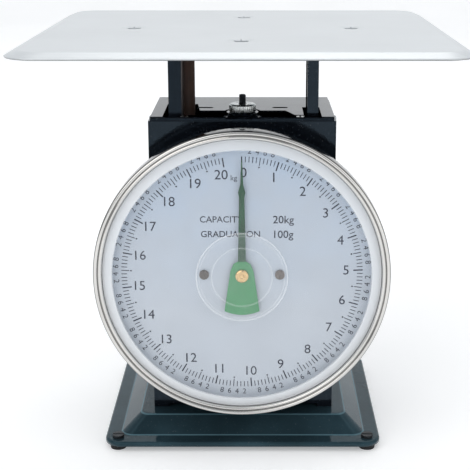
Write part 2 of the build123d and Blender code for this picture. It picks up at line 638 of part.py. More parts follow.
POINTER_FRONT = POINTER_BACK - POINTER_SHEET
with BuildPart() as hub_cap:
    rod(on_dial_axis(POINTER_FRONT), 4.4, 2.0)
    rod(on_dial_axis(POINTER_FRONT), ARBOR_RADIUS, POINTER_FRONT - ARBOR_FRONT, Mode.SUBTRACT)
    fillet(hub_cap.faces().sort_by(Axis.Y)[0].edges(), 0.8)
save("hub_cap", hub_cap.part)

# ---------------------------------------------------------------- load frame
TAB_TOP = SPIDER_BOTTOM
TAB_SPAN_Y = (-31.0, -9.0)
RIVET_Y = (-26.0, -14.0)
LEFT_RIVET_X, RIGHT_RIVET_X = -31.0, 37.0
WING_BOTTOM, WING_INNER = 222.0, -33.2


def upright(channel, web, tab, wing=None):
    """A channel with its web on one side, a tab folded over under the tray spider, and if it has a wing,
    a strip of its rear flange that carries on past the web above the housing."""
    depth, height = (UPRIGHT_FRONT, UPRIGHT_BACK), (UPRIGHT_BOTTOM, TAB_TOP)
    with BuildPart() as piece:
        block(web, depth, height)
        block(channel, (UPRIGHT_FRONT, UPRIGHT_FRONT + FRAME_SHEET), height)
        block(channel, (UPRIGHT_BACK - FRAME_SHEET, UPRIGHT_BACK), height)
        block(tab, TAB_SPAN_Y, (TAB_TOP - FRAME_SHEET, TAB_TOP))
        if wing:
            block(wing, (UPRIGHT_BACK - FRAME_SHEET, UPRIGHT_BACK), (WING_BOTTOM, TAB_TOP))
        with Locations(*(((tab[0] + tab[1]) / 2, y, TAB_TOP) for y in RIVET_Y)):
            Hole(2.0, depth=3)
        for y, z in ((LINK_FRONT_Y, UPPER_PIN_Z), (LINK_FRONT_Y, LOWER_PIN_Z), (-28.0, 51.0), (-15.0, 51.0)):
            with Locations(Location(((web[0] + web[1]) / 2, y, z), (0, 90, 0))):
                Cylinder(1.5, 3, mode=Mode.SUBTRACT)
    return piece.part


LEFT_WEB = (LEFT_INNER - FRAME_SHEET, LEFT_INNER)
RIGHT_WEB = (RIGHT_OUTER - FRAME_SHEET, RIGHT_OUTER)
left_upright = upright(
    (LEFT_OUTER, LEFT_INNER), LEFT_WEB, (LEFT_WEB[0], 2 * LEFT_RIVET_X - LEFT_WEB[0]),
    wing=(LEFT_WEB[0], WING_INNER),
)
save("left_upright", left_upright)
right_upright = upright(
    (RIGHT_INNER, RIGHT_OUTER), RIGHT_WEB, (2 * RIGHT_RIVET_X - RIGHT_WEB[1], RIGHT_WEB[1])
)
save("right_upright", right_upright)

CROSSBAR_TAB = 2.0
CROSSBAR_TOP = 58.0
with BuildPart() as lower_crossbar:
    height = (UPRIGHT_BOTTOM, CROSSBAR_TOP)
    block((LEFT_INNER, RIGHT_WEB[0]), (SPRING_Y - 1.5, SPRING_Y + 1.5), height)
    block((LEFT_INNER, LEFT_INNER + CROSSBAR_TAB), (-31.5, -10.0), height)
    block((RIGHT_WEB[0] - CROSSBAR_TAB, RIGHT_WEB[0]), (-31.5, -10.0), height)
    with BuildSketch(facing_front(SPRING_Y - 3)):
        with Locations((-SPRING_X, LOWER_EYE_Z), (SPRING_X, LOWER_EYE_Z)):
            Circle(EYE_RADIUS)
        with Locations(*((7.3, z) for z in RACK_SCREW_Z)):
            Circle(1.25)
    extrude(amount=-6, mode=Mode.SUBTRACT)
    for x in (LEFT_INNER + 1, RIGHT_WEB[0] - 1):
        for y in (-28.0, -15.0):
            with Locations(Location((x, y, 51.0), (0, 90, 0))):
                Cylinder(1.5, 3, mode=Mode.SUBTRACT)
save("lower_crossbar", lower_crossbar.part)

with BuildPart() as crossbar_rivets:
    for web, out in ((LEFT_WEB, 1), (RIGHT_WEB, -1)):
        outer = web[0] if out > 0 else web[1]
        for y in (-28.0, -15.0):
            start = Plane(origin=(outer, y, 51.0), z_dir=(out, 0, 0))
            rod(start, 1.5, FRAME_SHEET + CROSSBAR_TAB)
            rod(start, 2.8, -1.2)
            rod(start.offset(FRAME_SHEET + CROSSBAR_TAB), 2.8, 1.2)
save("crossbar_rivets", crossbar_rivets.part)

with BuildPart() as link_pins:
    for web, arm_x, out in ((LEFT_WEB, LEFT_ARM_X, 1), (RIGHT_WEB, RIGHT_ARM_X, -1)):
        outer, inner = (web[0], web[1]) if out > 0 else (web[1], web[0])
        reach = abs(arm_x - inner) + FRAME_SHEET / 2 + 0.4
        for z in (UPPER_PIN_Z, LOWER_PIN_Z):
            rod(Plane(origin=(outer, LINK_FRONT_Y, z), z_dir=(out, 0, 0)), 1.5, FRAME_SHEET)
            shoulder = Plane(origin=(inner, LINK_FRONT_Y, z), z_dir=(out, 0, 0))
            rod(shoulder, PIN_RADIUS, reach)
            rod(shoulder.offset(reach), 4.2, 1.4)
save("link_pins", link_pins.part)

ARM_WIDTH, SLOT_TRAVEL = 12.0, LINK_SPAN / cos(LINK_ANGLE) - LINK_SPAN


def link_arms(rod_z):
    """Two flat bars that swing on a rear rod; each takes a pin of the load frame in its front slot."""
    slot_middle = LINK_SPAN + SLOT_TRAVEL / 2
    with BuildPart() as arms:
        for x in (LEFT_ARM_X, RIGHT_ARM_X):
            plane = Plane(
                origin=(x - FRAME_SHEET / 2, LINK_REAR_Y, rod_z),
                x_dir=(0, -cos(LINK_ANGLE), sin(LINK_ANGLE)), z_dir=(1, 0, 0),
            )
            with BuildSketch(plane):
                with Locations((slot_middle / 2, 0)):
                    SlotCenterToCenter(slot_middle, ARM_WIDTH)
                Circle(ROD_RADIUS + RUNNING, mode=Mode.SUBTRACT)
                with Locations((slot_middle, 0)):
                    SlotCenterToCenter(
                        SLOT_TRAVEL + 2 * OPEN, 2 * (PIN_RADIUS + OPEN), mode=Mode.SUBTRACT
                    )
            extrude(amount=FRAME_SHEET)
    return arms.part


save("upper_link_arms", link_arms(UPPER_ROD_Z))
save("lower_link_arms", link_arms(LOWER_ROD_Z))

# ---------------------------------------------------------------- tray
TRAY_SPOTS = [(TRAY_SCREW_REACH, 0), (-TRAY_SCREW_REACH, 0), (0, TRAY_SCREW_REACH), (0, -TRAY_SCREW_REACH)]
ARM_REACH, SPIDER_ARM = 87.0, 26.0
HEAD_TOP_RADIUS, SCREW_RADIUS = 5.0, 2.5
HEAD_DEPTH = HEAD_TOP_RADIUS - SCREW_RADIUS


def countersunk(x, y):
    """A countersunk hole for a tray screw, cut down from the tray's top."""
    with Locations((x, y, TRAY_TOP - HEAD_DEPTH / 2)):
        Cone(SCREW_RADIUS, HEAD_TOP_RADIUS, HEAD_DEPTH, mode=Mode.SUBTRACT)
    with Locations((x, y, TRAY_TOP - 5)):
        Cylinder(SCREW_RADIUS, 12, mode=Mode.SUBTRACT)


with BuildPart() as tray_spider:
    with BuildSketch(level(SPIDER_BOTTOM)):
        Rectangle(2 * ARM_REACH, SPIDER_ARM)
        Rectangle(SPIDER_ARM, 2 * ARM_REACH)
        Rectangle(112, 72)
    extrude(amount=SPIDER_SHEET)
    for x, y in TRAY_SPOTS:
        countersunk(x, y)
    with Locations(*((x, y, SPIDER_TOP) for x in (LEFT_RIVET_X, RIGHT_RIVET_X) for y in RIVET_Y)):
        Hole(2.0, depth=4)
save("tray_spider", tray_spider.part)

with BuildPart() as frame_rivets:
    for x in (LEFT_RIVET_X, RIGHT_RIVET_X):
        for y in RIVET_Y:
            top = level(SPIDER_TOP, x, y)
            rod(top, 2.0, -SPIDER_SHEET - FRAME_SHEET)
            rod(top.offset(-SPIDER_SHEET - FRAME_SHEET), 3.4, -1.3)
save("frame_rivets", frame_rivets.part)


def tray_shell(drop, inset, mode):
    """The tray's outer form, lowered by drop and drawn in by inset: a flat top with a sloped border."""
    flat, edge = TRAY_HALF - TRAY_BORDER - inset * 0.25, TRAY_HALF - inset
    with BuildSketch(level(TRAY_TOP - drop - TRAY_DROP)) as lower:
        RectangleRounded(2 * edge, 2 * edge, TRAY_CORNER - inset)
    with BuildSketch(level(TRAY_TOP - drop)) as upper:
        RectangleRounded(2 * flat, 2 * flat, TRAY_CORNER - TRAY_BORDER + 3)
    loft([lower.sketch, upper.sketch], ruled=True, mode=mode)


with BuildPart() as tray:
    tray_shell(0, 0, Mode.ADD)
    with BuildSketch(level(TRAY_TOP - TRAY_DROP)):
        RectangleRounded(2 * TRAY_HALF, 2 * TRAY_HALF, TRAY_CORNER)
    extrude(amount=-TRAY_HEM)
    tray_shell(TRAY_SHEET, 1.6, Mode.SUBTRACT)
    with BuildSketch(level(TRAY_TOP - TRAY_DROP - TRAY_HEM - 1)):
        inner = TRAY_HALF - 1.6
        RectangleRounded(2 * inner, 2 * inner, TRAY_CORNER - 1.6)
    extrude(amount=TRAY_HEM + 1 - TRAY_SHEET + 0.001, mode=Mode.SUBTRACT)
    for x, y in TRAY_SPOTS:
        countersunk(x, y)
save("tray", tray.part)

with BuildPart() as tray_screws:
    for x, y in TRAY_SPOTS:
        with Locations((x, y, TRAY_TOP - HEAD_DEPTH / 2)):
            Cone(SCREW_RADIUS, HEAD_TOP_RADIUS, HEAD_DEPTH)
        rod(level(TRAY_TOP - HEAD_DEPTH, x, y), SCREW_RADIUS, -7.5)
        with Locations((x, y, TRAY_TOP)):
            Box(1.1, 7, 1.4, mode=Mode.SUBTRACT)
            Box(7, 1.1, 1.4, mode=Mode.SUBTRACT)
save("tray_screws", tray_screws.part)

with BuildPart() as tray_nuts:
    for x, y in TRAY_SPOTS:
        with BuildSketch(level(SPIDER_BOTTOM, x, y)):
            RegularPolygon(4.6, 6)
            Circle(SCREW_RADIUS, mode=Mode.SUBTRACT)
        extrude(amount=-4.0)
save("tray_nuts", tray_nuts.part)
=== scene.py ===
import json
import math

import bmesh
import bpy
import numpy as np
from bpy.props import FloatProperty, FloatVectorProperty, IntProperty, PointerProperty
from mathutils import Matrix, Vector


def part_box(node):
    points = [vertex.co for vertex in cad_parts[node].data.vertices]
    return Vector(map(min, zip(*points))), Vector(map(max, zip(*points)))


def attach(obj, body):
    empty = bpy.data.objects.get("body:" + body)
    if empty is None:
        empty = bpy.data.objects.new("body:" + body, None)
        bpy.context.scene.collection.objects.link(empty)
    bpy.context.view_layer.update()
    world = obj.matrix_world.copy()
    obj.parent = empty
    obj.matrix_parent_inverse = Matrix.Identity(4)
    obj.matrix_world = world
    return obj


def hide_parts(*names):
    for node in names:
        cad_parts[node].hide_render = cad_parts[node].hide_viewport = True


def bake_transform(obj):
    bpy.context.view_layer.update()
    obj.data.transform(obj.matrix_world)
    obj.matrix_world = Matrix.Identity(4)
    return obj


bl_info = {
    "name": "Dial Bench Scale",
    "version": (1, 0, 0),
    "blender": (4, 5, 0),
    "location": "3D View > Sidebar > Bench Scale",
    "description": "Builds the visible pieces and finishes of a mechanical dial bench scale",
    "category": "Object",
}

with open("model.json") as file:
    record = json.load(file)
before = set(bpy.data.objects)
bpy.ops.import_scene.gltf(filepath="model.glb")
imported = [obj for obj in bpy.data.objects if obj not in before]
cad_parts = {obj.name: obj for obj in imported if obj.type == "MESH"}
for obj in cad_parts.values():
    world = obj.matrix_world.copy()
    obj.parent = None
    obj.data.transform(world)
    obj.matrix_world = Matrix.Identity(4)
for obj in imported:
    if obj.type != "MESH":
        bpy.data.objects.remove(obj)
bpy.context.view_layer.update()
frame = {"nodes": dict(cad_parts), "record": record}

MM = 0.001
DIAL_CENTRE = (0.0, 127.0)   # across and up, in millimetres, on every body
DIAL_SEGMENTS = 192          # faces round the large turned pieces
WIRE_SIDES = 10              # faces round the wire of a spring
CAPITAL_HEIGHT = 0.70        # height of a figure in a text object of size one


def edge(node, side, axis):
    """One side of a CAD node's box in millimetres: side 0 is the low one, axis 0 to 2 is X to Z."""
    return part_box(node)[side][axis] / MM


# ---- settings
def length(name, description, default):
    """A length property; its value is in metres and its default is given in millimetres."""
    return FloatProperty(name=name, description=description, default=default * MM, subtype="DISTANCE")


def colour(name, description, default):
    """A colour property of three linear values."""
    return FloatVectorProperty(
        name=name, description=description, default=default, size=3, min=0, max=1, subtype="COLOR"
    )


class BenchScaleShapes(bpy.types.PropertyGroup):
    """Sizes of the computed pieces"""
    tray_border: length("Tray border", "Width of the sloped border of the tray", 9.0)
    tray_corner: length("Tray corner", "Radius of the tray's corners", 22.0)
    tray_drop: length("Tray drop", "How far the border falls to the hem", 3.2)
    base_flange: length("Base flange", "Width of the flat flange round the base", 10.5)
    base_slope: length("Base slope", "Run of the sloped sides of the base", 13.0)
    lens_flat: length("Lens flat", "Radius of the flat part of the lens", 86.0)
    inner_ring: length("Inner lens ring", "Radius of the inner ring moulded in the lens", 20.0)
    outer_ring: length("Outer lens ring", "Radius of the outer ring moulded in the lens", 30.0)
    tick_radius: length("Tick radius", "Outer radius of the dial's divisions", 80.0)
    numeral_height: length("Numeral height", "Height of the kilogram figures", 6.4)
    small_height: length("Small figure height", "Height of the figures between kilograms", 3.7)
    turn_per_kg: FloatProperty(
        name="Turn per kilogram", description="Angle on the dial for one kilogram",
        default=math.radians(17.55), subtype="ANGLE",
    )
    capacity: IntProperty(name="Capacity", description="Full load in kilograms", default=20, min=1)


class BenchScaleColours(bpy.types.PropertyGroup):
    """Colours of the finishes"""
    housing: colour("Housing", "Black enamel of the housing", (0.0045, 0.0058, 0.0085))
    base: colour("Base", "Dark slate enamel of the base", (0.019, 0.039, 0.050))
    tray: colour("Tray", "Light metal of the tray", (0.66, 0.69, 0.71))
    dial: colour("Dial", "Face of the dial", (0.50, 0.545, 0.605))
    ink: colour("Ink", "Print on the dial", (0.012, 0.016, 0.032))
    pointer_dark: colour("Pointer blade", "Green of the pointer's blade", (0.003, 0.060, 0.024))
    # Painted reflection: the tail's lighter green stands in for the lens's pale reflection over the middle
    # of the dial.
    pointer_light: colour("Pointer tail", "Green of the pointer's tail", (0.040, 0.27, 0.10))
    brass: colour("Brass", "Hub cap and bushes", (0.72, 0.50, 0.24))
    zinc: colour("Zinc", "Plated nuts and screws", (0.62, 0.645, 0.64))


# ---- mesh code
def add_piece(name, points, faces, body, material, replaced=(), sharp=40.0):
    """Makes a mesh object from millimetre points and index faces, welds its poles and seams, turns its
    faces outwards, shades it smooth below the sharp angle, and fixes it to its CAD body if it has one."""
    mesh = bpy.data.meshes.new(name)
    mesh.from_pydata(np.asarray(points, float).reshape(-1, 3) * MM, [], faces)
    work = bmesh.new()
    work.from_mesh(mesh)
    bmesh.ops.remove_doubles(work, verts=work.verts, dist=0.002 * MM)
    bmesh.ops.dissolve_degenerate(work, edges=work.edges, dist=0.001 * MM)
    bmesh.ops.recalc_face_normals(work, faces=work.faces)
    work.to_mesh(mesh)
    work.free()
    mesh.shade_smooth()
    mesh.set_sharp_from_angle(angle=math.radians(sharp))
    mesh.materials.append(material)
    piece = bpy.data.objects.new(name, mesh)
    bpy.context.scene.collection.objects.link(piece)
    if body:
        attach(piece, body)
    if replaced:
        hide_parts(*replaced)
    return piece


def grid_faces(rows, columns, wrap_rows=False, wrap_columns=False):
    """Quads over a grid of points numbered row by row; a wrapped direction joins its last to its first."""
    down = np.arange(rows if wrap_rows else rows - 1)[:, None]
    along = np.arange(columns if wrap_columns else columns - 1)[None, :]
    below, beside = (down + 1) % rows, (along + 1) % columns
    quads = np.stack([
        down * columns + along, down * columns + beside, below * columns + beside, below * columns + along,
    ], axis=-1)
    return quads.reshape(-1, 4).tolist()


def rounded(corners, radii, steps=6, closed=False):
    """A profile through corner points with each inner corner replaced by an arc: the arc leaves each leg
    at radius times the tangent of half the turn, and is followed in equal angles."""
    corners = np.asarray(corners, float)
    count = len(corners)
    radii = np.broadcast_to(radii, count)
    path = []
    for index in range(count):
        here = corners[index]
        if not closed and index in (0, count - 1) or radii[index] == 0:
            path.append(here[None, :])
            continue
        back, ahead = corners[index - 1] - here, corners[(index + 1) % count] - here
        back_length, ahead_length = np.linalg.norm(back), np.linalg.norm(ahead)
        back, ahead = back / back_length, ahead / ahead_length
        half = math.acos(np.clip(back @ ahead, -1, 1)) / 2
        reach = min(radii[index] / math.tan(half), 0.49 * back_length, 0.49 * ahead_length)
        bisector = (back + ahead) / np.linalg.norm(back + ahead)
        centre = here + bisector * reach / math.cos(half)
        radius = reach * math.tan(half)
        start = here + back * reach - centre
        sideways = (here + ahead * reach) - centre
        sideways = sideways - start * (start @ sideways) / radius**2
        sideways *= radius / np.linalg.norm(sideways)
        turn = np.linspace(0, math.pi - 2 * half, steps)[:, None]
        path.append(centre + start * np.cos(turn) + sideways * np.sin(turn))
    return np.concatenate(path)


def turned(profile, segments=DIAL_SEGMENTS):
    """Points of a profile of (radius, depth) turned about the dial's axis: across is radius times the
    sine of the turn, up is radius times its cosine, and depth stays."""
    profile = np.asarray(profile, float)
    turn = np.linspace(0, 2 * math.pi, segments, endpoint=False)[None, :]
    radius, depth = profile[:, :1], profile[:, 1:]
    return np.stack([
        DIAL_CENTRE[0] + radius * np.sin(turn), depth + 0 * turn, DIAL_CENTRE[1] + radius * np.cos(turn)
    ], axis=-1)


def upright_turned(profile, centre, segments, radius_scale):
    """Points of a profile of (radius, height) turned about an upright axis; radius_scale multiplies the
    radius at each row and angle, for flutes and threads."""
    profile = np.asarray(profile, float)
    turn = np.linspace(0, 2 * math.pi, segments, endpoint=False)[None, :]
    radius = profile[:, :1] * radius_scale(profile, turn)
    return np.stack([
        centre[0] + radius * np.cos(turn), centre[1] + radius * np.sin(turn), profile[:, 1:] + 0 * turn
    ], axis=-1)


def rounded_rings(half_x, half_y, corner, steps):
    """Rings of points round rectangles with round corners, one ring for each value given and steps points
    to a corner. A point is the centre of its corner plus the corner radius times the cosine and sine of
    its angle."""
    half_x, half_y, corner = (np.asarray(value, float)[:, None] for value in (half_x, half_y, corner))
    quarter = np.linspace(0, math.pi / 2, steps)
    angle = np.concatenate([quarter + turn * math.pi / 2 for turn in range(4)])[None, :]
    sign_x = np.repeat([1, -1, -1, 1], steps)[None, :]
    sign_y = np.repeat([1, 1, -1, -1], steps)[None, :]
    across = sign_x * (half_x - corner) + corner * np.cos(angle)
    deep = sign_y * (half_y - corner) + corner * np.sin(angle)
    return across, deep


def tube(path, outward, radius):
    """A round wire along a path: each point is the path plus the wire's radius times the cosine of its
    angle along outward and the sine along the normal to both outward and the path. Ends are closed."""
    along = np.gradient(path, axis=0)
    along /= np.linalg.norm(along, axis=1, keepdims=True)
    outward = outward - along * np.sum(outward * along, axis=1, keepdims=True)
    outward /= np.linalg.norm(outward, axis=1, keepdims=True)
    sideways = np.cross(along, outward)
    turn = np.linspace(0, 2 * math.pi, WIRE_SIDES, endpoint=False)[None, :, None]
    skin = path[:, None, :] + radius * (
        outward[:, None, :] * np.cos(turn) + sideways[:, None, :] * np.sin(turn)
    )
    first = np.repeat(path[:1, None, :], WIRE_SIDES, axis=1)
    last = np.repeat(path[-1:, None, :], WIRE_SIDES, axis=1)
    return np.concatenate([first, skin, last])


def joined(parts):
    """Several (points, faces) shapes as one pair, with the faces renumbered."""
    points, faces, count = [], [], 0
    for shape, shape_faces in parts:
        shape = np.asarray(shape, float).reshape(-1, 3)
        points.append(shape)
        faces += [[index + count for index in face] for face in shape_faces]
        count += len(shape)
    return np.concatenate(points), faces


# ---- finishes
class Finish:
    """A Principled material under construction, with short ways to add the nodes that it needs."""

    def __init__(self, name, base, roughness, metallic=0.0, **sockets):
        self.material = bpy.data.materials.new(name)
        self.material.use_nodes = True
        self.tree = self.material.node_tree
        self.shader = self.tree.nodes["Principled BSDF"]
        self.shader.inputs["Base Color"].default_value = (*base, 1)
        self.shader.inputs["Roughness"].default_value = roughness
        self.shader.inputs["Metallic"].default_value = metallic
        for socket, value in sockets.items():
            self.shader.inputs[socket.replace("_", " ")].default_value = value
        self.place = self.node("ShaderNodeTexCoord").outputs["Object"]

    def node(self, kind, **settings):
        """A new node with its settings."""
        node = self.tree.nodes.new(kind)
        for key, value in settings.items():
            setattr(node, key, value)
        return node

    def link(self, source, target):
        """Joins an output to an input."""
        self.tree.links.new(source, target)

    def scaled(self, scale):
        """Object coordinates multiplied along each axis, for grain that runs one way."""
        mapping = self.node("ShaderNodeMapping")
        mapping.inputs["Scale"].default_value = scale
        self.link(self.place, mapping.inputs["Vector"])
        return mapping.outputs["Vector"]

    def noise(self, scale, detail=3.0, stretch=None, roughness=0.5):
        """Noise over the object, drawn out along an axis where stretch is small."""
        node = self.node("ShaderNodeTexNoise")
        node.inputs["Scale"].default_value = scale
        node.inputs["Detail"].default_value = detail
        node.inputs["Roughness"].default_value = roughness
        self.link(self.scaled(stretch) if stretch else self.place, node.inputs["Vector"])
        return node.outputs["Fac"]

    def spread(self, value, low, high, start=0.35, end=0.65):
        """A value carried from one range to another, held at its ends."""
        node = self.node("ShaderNodeMapRange")
        for socket, number in (("From Min", start), ("From Max", end), ("To Min", low), ("To Max", high)):
            node.inputs[socket].default_value = number
        self.link(value, node.inputs["Value"])
        return node.outputs["Result"]

    def mixed(self, factor, first, second):
        """Two colours mixed by a factor; each colour is a socket or three numbers."""
        node = self.node("ShaderNodeMix", data_type="RGBA")
        self.link(factor, node.inputs["Factor"])
        for socket, value in (("A", first), ("B", second)):
            target = next(s for s in node.inputs if s.name == socket and s.type == "RGBA")
            if isinstance(value, bpy.types.NodeSocket):
                self.link(value, target)
            else:
                target.default_value = (*value, 1)
        return next(s for s in node.outputs if s.type == "RGBA")

    def math(self, operation, first, second=None):
        """One sum on sockets or numbers."""
        node = self.node("ShaderNodeMath", operation=operation)
        for index, value in enumerate((first, second)):
            if isinstance(value, bpy.types.NodeSocket):
                self.link(value, node.inputs[index])
            elif value is not None:
                node.inputs[index].default_value = value
        return node.outputs[0]

    def split(self):
        """Object coordinates as separate X, Y and Z."""
        node = self.node("ShaderNodeSeparateXYZ")
        self.link(self.place, node.inputs[0])
        return node.outputs

    def dial_radius(self):
        """Distance from the dial's axis, in metres."""
        place = self.split()
        up = self.math("SUBTRACT", place["Z"], DIAL_CENTRE[1] * MM)
        across = place["X"]
        squares = (self.math("MULTIPLY", across, across), self.math("MULTIPLY", up, up))
        return self.math("SQRT", self.math("ADD", *squares))

    def bump(self, height, distance, strength):
        """Fine relief from a height value; distance is in metres."""
        node = self.node("ShaderNodeBump")
        node.inputs["Strength"].default_value = strength
        node.inputs["Distance"].default_value = distance
        self.link(height, node.inputs["Height"])
        self.link(node.outputs["Normal"], self.shader.inputs["Normal"])

    def into(self, value, socket):
        """Feeds a value to a socket of the shader."""
        self.link(value, self.shader.inputs[socket])


def tinted(base, factor):
    """A colour made lighter or darker."""
    return tuple(min(1.0, value * factor) for value in base)


def enamel(name, base, roughness, gloss=0.25, tint=(0.75, 0.88, 1.0), painted_highlight_bends=()):
    """Stoved enamel: slow clouds in its tone, waves in its gloss, fine orange peel, dust and a clear top
    layer. Each painted highlight bend is a height and a half width in millimetres, where a painted
    highlight line makes the enamel lighter."""
    finish = Finish(name, base, roughness, Coat_Weight=0.04, Coat_Roughness=0.04,
                    Specular_IOR_Level=gloss, Specular_Tint=(*tint, 1))
    clouds = finish.noise(22.0, 4.0)
    specks = finish.spread(finish.noise(900.0, 2.0), 0.0, 0.5, 0.66, 0.80)
    body = finish.mixed(finish.spread(clouds, 0.0, 1.0), tinted(base, 0.8), tinted(base, 1.35))
    body = finish.mixed(specks, body, (0.16, 0.17, 0.18))
    height = finish.split()["Z"]
    # Painted highlight: a lighter line at each given bend height stands in for the gloss highlight along
    # that bend.
    for bend, half in painted_highlight_bends:
        away = finish.math("ABSOLUTE", finish.math("SUBTRACT", height, bend * MM))
        line = finish.spread(away, 0.8, 0.0, half * 0.4 * MM, half * MM)
        body = finish.mixed(line, body, tinted(tint, 0.30))
    finish.into(body, "Base Color")
    finish.into(finish.spread(finish.noise(55.0, 3.0), roughness * 0.7, roughness * 1.6), "Roughness")
    finish.bump(finish.noise(420.0, 2.0), 0.00012, 0.30)
    return finish.material


def brushed(name, base, roughness, stretch, stain):
    """Metal with fine lines drawn one way, and slow stains across it that darken it by the stain factor."""
    finish = Finish(name, base, roughness, 1.0)
    lines = finish.noise(700.0, 3.0, stretch, 0.65)
    stains = finish.noise(14.0, 5.0)
    drawn = finish.mixed(finish.spread(lines, 0.0, 1.0, 0.3, 0.7), tinted(base, 0.90), tinted(base, 1.06))
    worn = finish.mixed(finish.spread(stains, 0.0, 1.0, 0.42, 0.72), drawn, tinted(base, stain))
    finish.into(worn, "Base Color")
    finish.into(finish.spread(lines, roughness * 0.8, roughness * 1.3, 0.3, 0.7), "Roughness")
    finish.bump(lines, 0.00004, 0.5)
    return finish.material


def tray_sheet(name, base, hem):
    """Light sheet metal: lines drawn across it, slow stains, and a painted shadow darkening the lowest
    millimetre of the hem.
    """
    finish = Finish(name, base, 0.36, 0.55)
    lines = finish.noise(700.0, 3.0, (0.04, 1, 1), 0.65)
    drawn = finish.mixed(finish.spread(lines, 0.0, 1.0, 0.3, 0.7), tinted(base, 0.92), tinted(base, 1.05))
    stains = finish.spread(finish.noise(12.0, 5.0), 0.0, 1.0, 0.42, 0.72)
    worn = finish.mixed(stains, drawn, tinted(base, 0.94))
    height = finish.split()["Z"]
    # Painted shadow: the bottom of the hem is darkened to stand in for the shade under the tray's edge.
    painted_shadow_hem = finish.spread(height, 0.85, 0.0, hem + 0.0003, hem + 0.0010)
    finish.into(finish.mixed(painted_shadow_hem, worn, (0.05, 0.05, 0.055)), "Base Color")
    finish.into(finish.spread(lines, 0.30, 0.44, 0.3, 0.7), "Roughness")
    finish.bump(lines, 0.00001, 0.5)
    return finish.material


def plated(name, base, roughness):
    """Zinc or brass plate: small crystal patches, darker stains and fine pits."""
    finish = Finish(name, base, roughness, 1.0)
    cells = finish.node("ShaderNodeTexVoronoi")
    cells.inputs["Scale"].default_value = 1100.0
    finish.link(finish.place, cells.inputs["Vector"])
    grey = finish.node("ShaderNodeRGBToBW")
    finish.link(cells.outputs["Color"], grey.inputs[0])
    patches = finish.spread(grey.outputs[0], 0.0, 1.0, 0.2, 0.8)
    body = finish.mixed(patches, tinted(base, 0.94), tinted(base, 1.06))
    stain = finish.spread(finish.noise(160.0, 5.0), 0.0, 0.45, 0.55, 0.78)
    finish.into(finish.mixed(stain, body, tinted(base, 0.5)), "Base Color")
    finish.into(finish.spread(finish.noise(500.0, 4.0), roughness * 0.6, roughness * 1.5), "Roughness")
    finish.bump(finish.noise(1500.0, 2.0), 0.00001, 0.2)
    return finish.material


def rolled_chrome(name, base, outer):
    """Chrome plate on the bezel: bright bands between painted shade lines at the rim of its rolled bead, in
    its valley and at its inner lip, with water spots and an uneven polish. A painted shade line is an inset
    from the rim, a half width and a strength."""
    finish = Finish(name, base, 0.10, 1.0)
    radius = finish.dial_radius()
    # Painted shade: dark lines at the bead's rim, in its valley and at the inner lip.
    dark = None
    for inset, width, strength in ((0.0001, 0.0007, 0.9), (0.0030, 0.0007, 0.75), (0.0060, 0.0006, 0.85)):
        away = finish.math("ABSOLUTE", finish.math("SUBTRACT", radius, outer - inset))
        line = finish.spread(away, strength, 0.0, width * 0.4, width)
        dark = line if dark is None else finish.math("MAXIMUM", dark, line)
    spots = finish.spread(finish.noise(30.0, 5.0), 0.0, 0.35, 0.45, 0.75)
    plate = finish.mixed(spots, base, tinted(base, 0.75))
    # The painted shade lines are laid over the plate here.
    finish.into(finish.mixed(dark, plate, (0.045, 0.042, 0.040)), "Base Color")
    finish.into(finish.spread(finish.noise(300.0, 3.0), 0.07, 0.16), "Roughness")
    return finish.material


def mill_scale_steel(name, outside):
    """The left upright: black enamel on its channel, and bare brown mill scale with rust past its web."""
    finish = Finish(name, outside, 0.16, Specular_IOR_Level=0.25, Specular_Tint=(0.55, 0.78, 1.0, 1))
    rust = finish.spread(finish.noise(60.0, 6.0, (1, 1, 0.35), 0.6), 0.0, 1.0, 0.40, 0.66)
    scale = finish.mixed(rust, (0.034, 0.029, 0.028), (0.105, 0.052, 0.030))
    pale = finish.spread(finish.noise(220.0, 4.0, (1, 1, 0.08)), 0.0, 0.55, 0.5, 0.75)
    scale = finish.mixed(pale, scale, (0.115, 0.095, 0.085))
    web = edge("left_upright", 0, 0) * MM + 0.0087
    bare = finish.spread(finish.split()["X"], 0.0, 1.0, web, web + 0.0003)
    clouds = finish.noise(30.0, 4.0)
    paint = finish.mixed(finish.spread(clouds, 0, 1), tinted(outside, 0.8), tinted(outside, 1.8))
    finish.into(finish.mixed(bare, paint, scale), "Base Color")
    finish.into(finish.spread(bare, 0.18, 0.52, 0.0, 1.0), "Roughness")
    finish.bump(finish.noise(350.0, 4.0), 0.0001, 0.35)
    return finish.material


def dial_enamel(name, base):
    """The dial's face: satin lacquer that is bluer towards the top, with faint mottling."""
    finish = Finish(name, base, 0.42, 0.0, Specular_IOR_Level=0.4)
    height = finish.spread(finish.split()["Z"], 0.0, 1.0, 0.10, 0.205)
    cool = finish.mixed(height, tinted(base, 1.03), (base[0] * 0.86, base[1] * 0.95, base[2] * 1.05))
    mottle = finish.spread(finish.noise(38.0, 5.0), 0.0, 0.5)
    finish.into(finish.mixed(mottle, cool, tinted(base, 0.93)), "Base Color")
    finish.into(finish.spread(finish.noise(240.0, 3.0), 0.36, 0.5), "Roughness")
    finish.bump(finish.noise(900.0, 2.0), 0.00002, 0.3)
    return finish.material


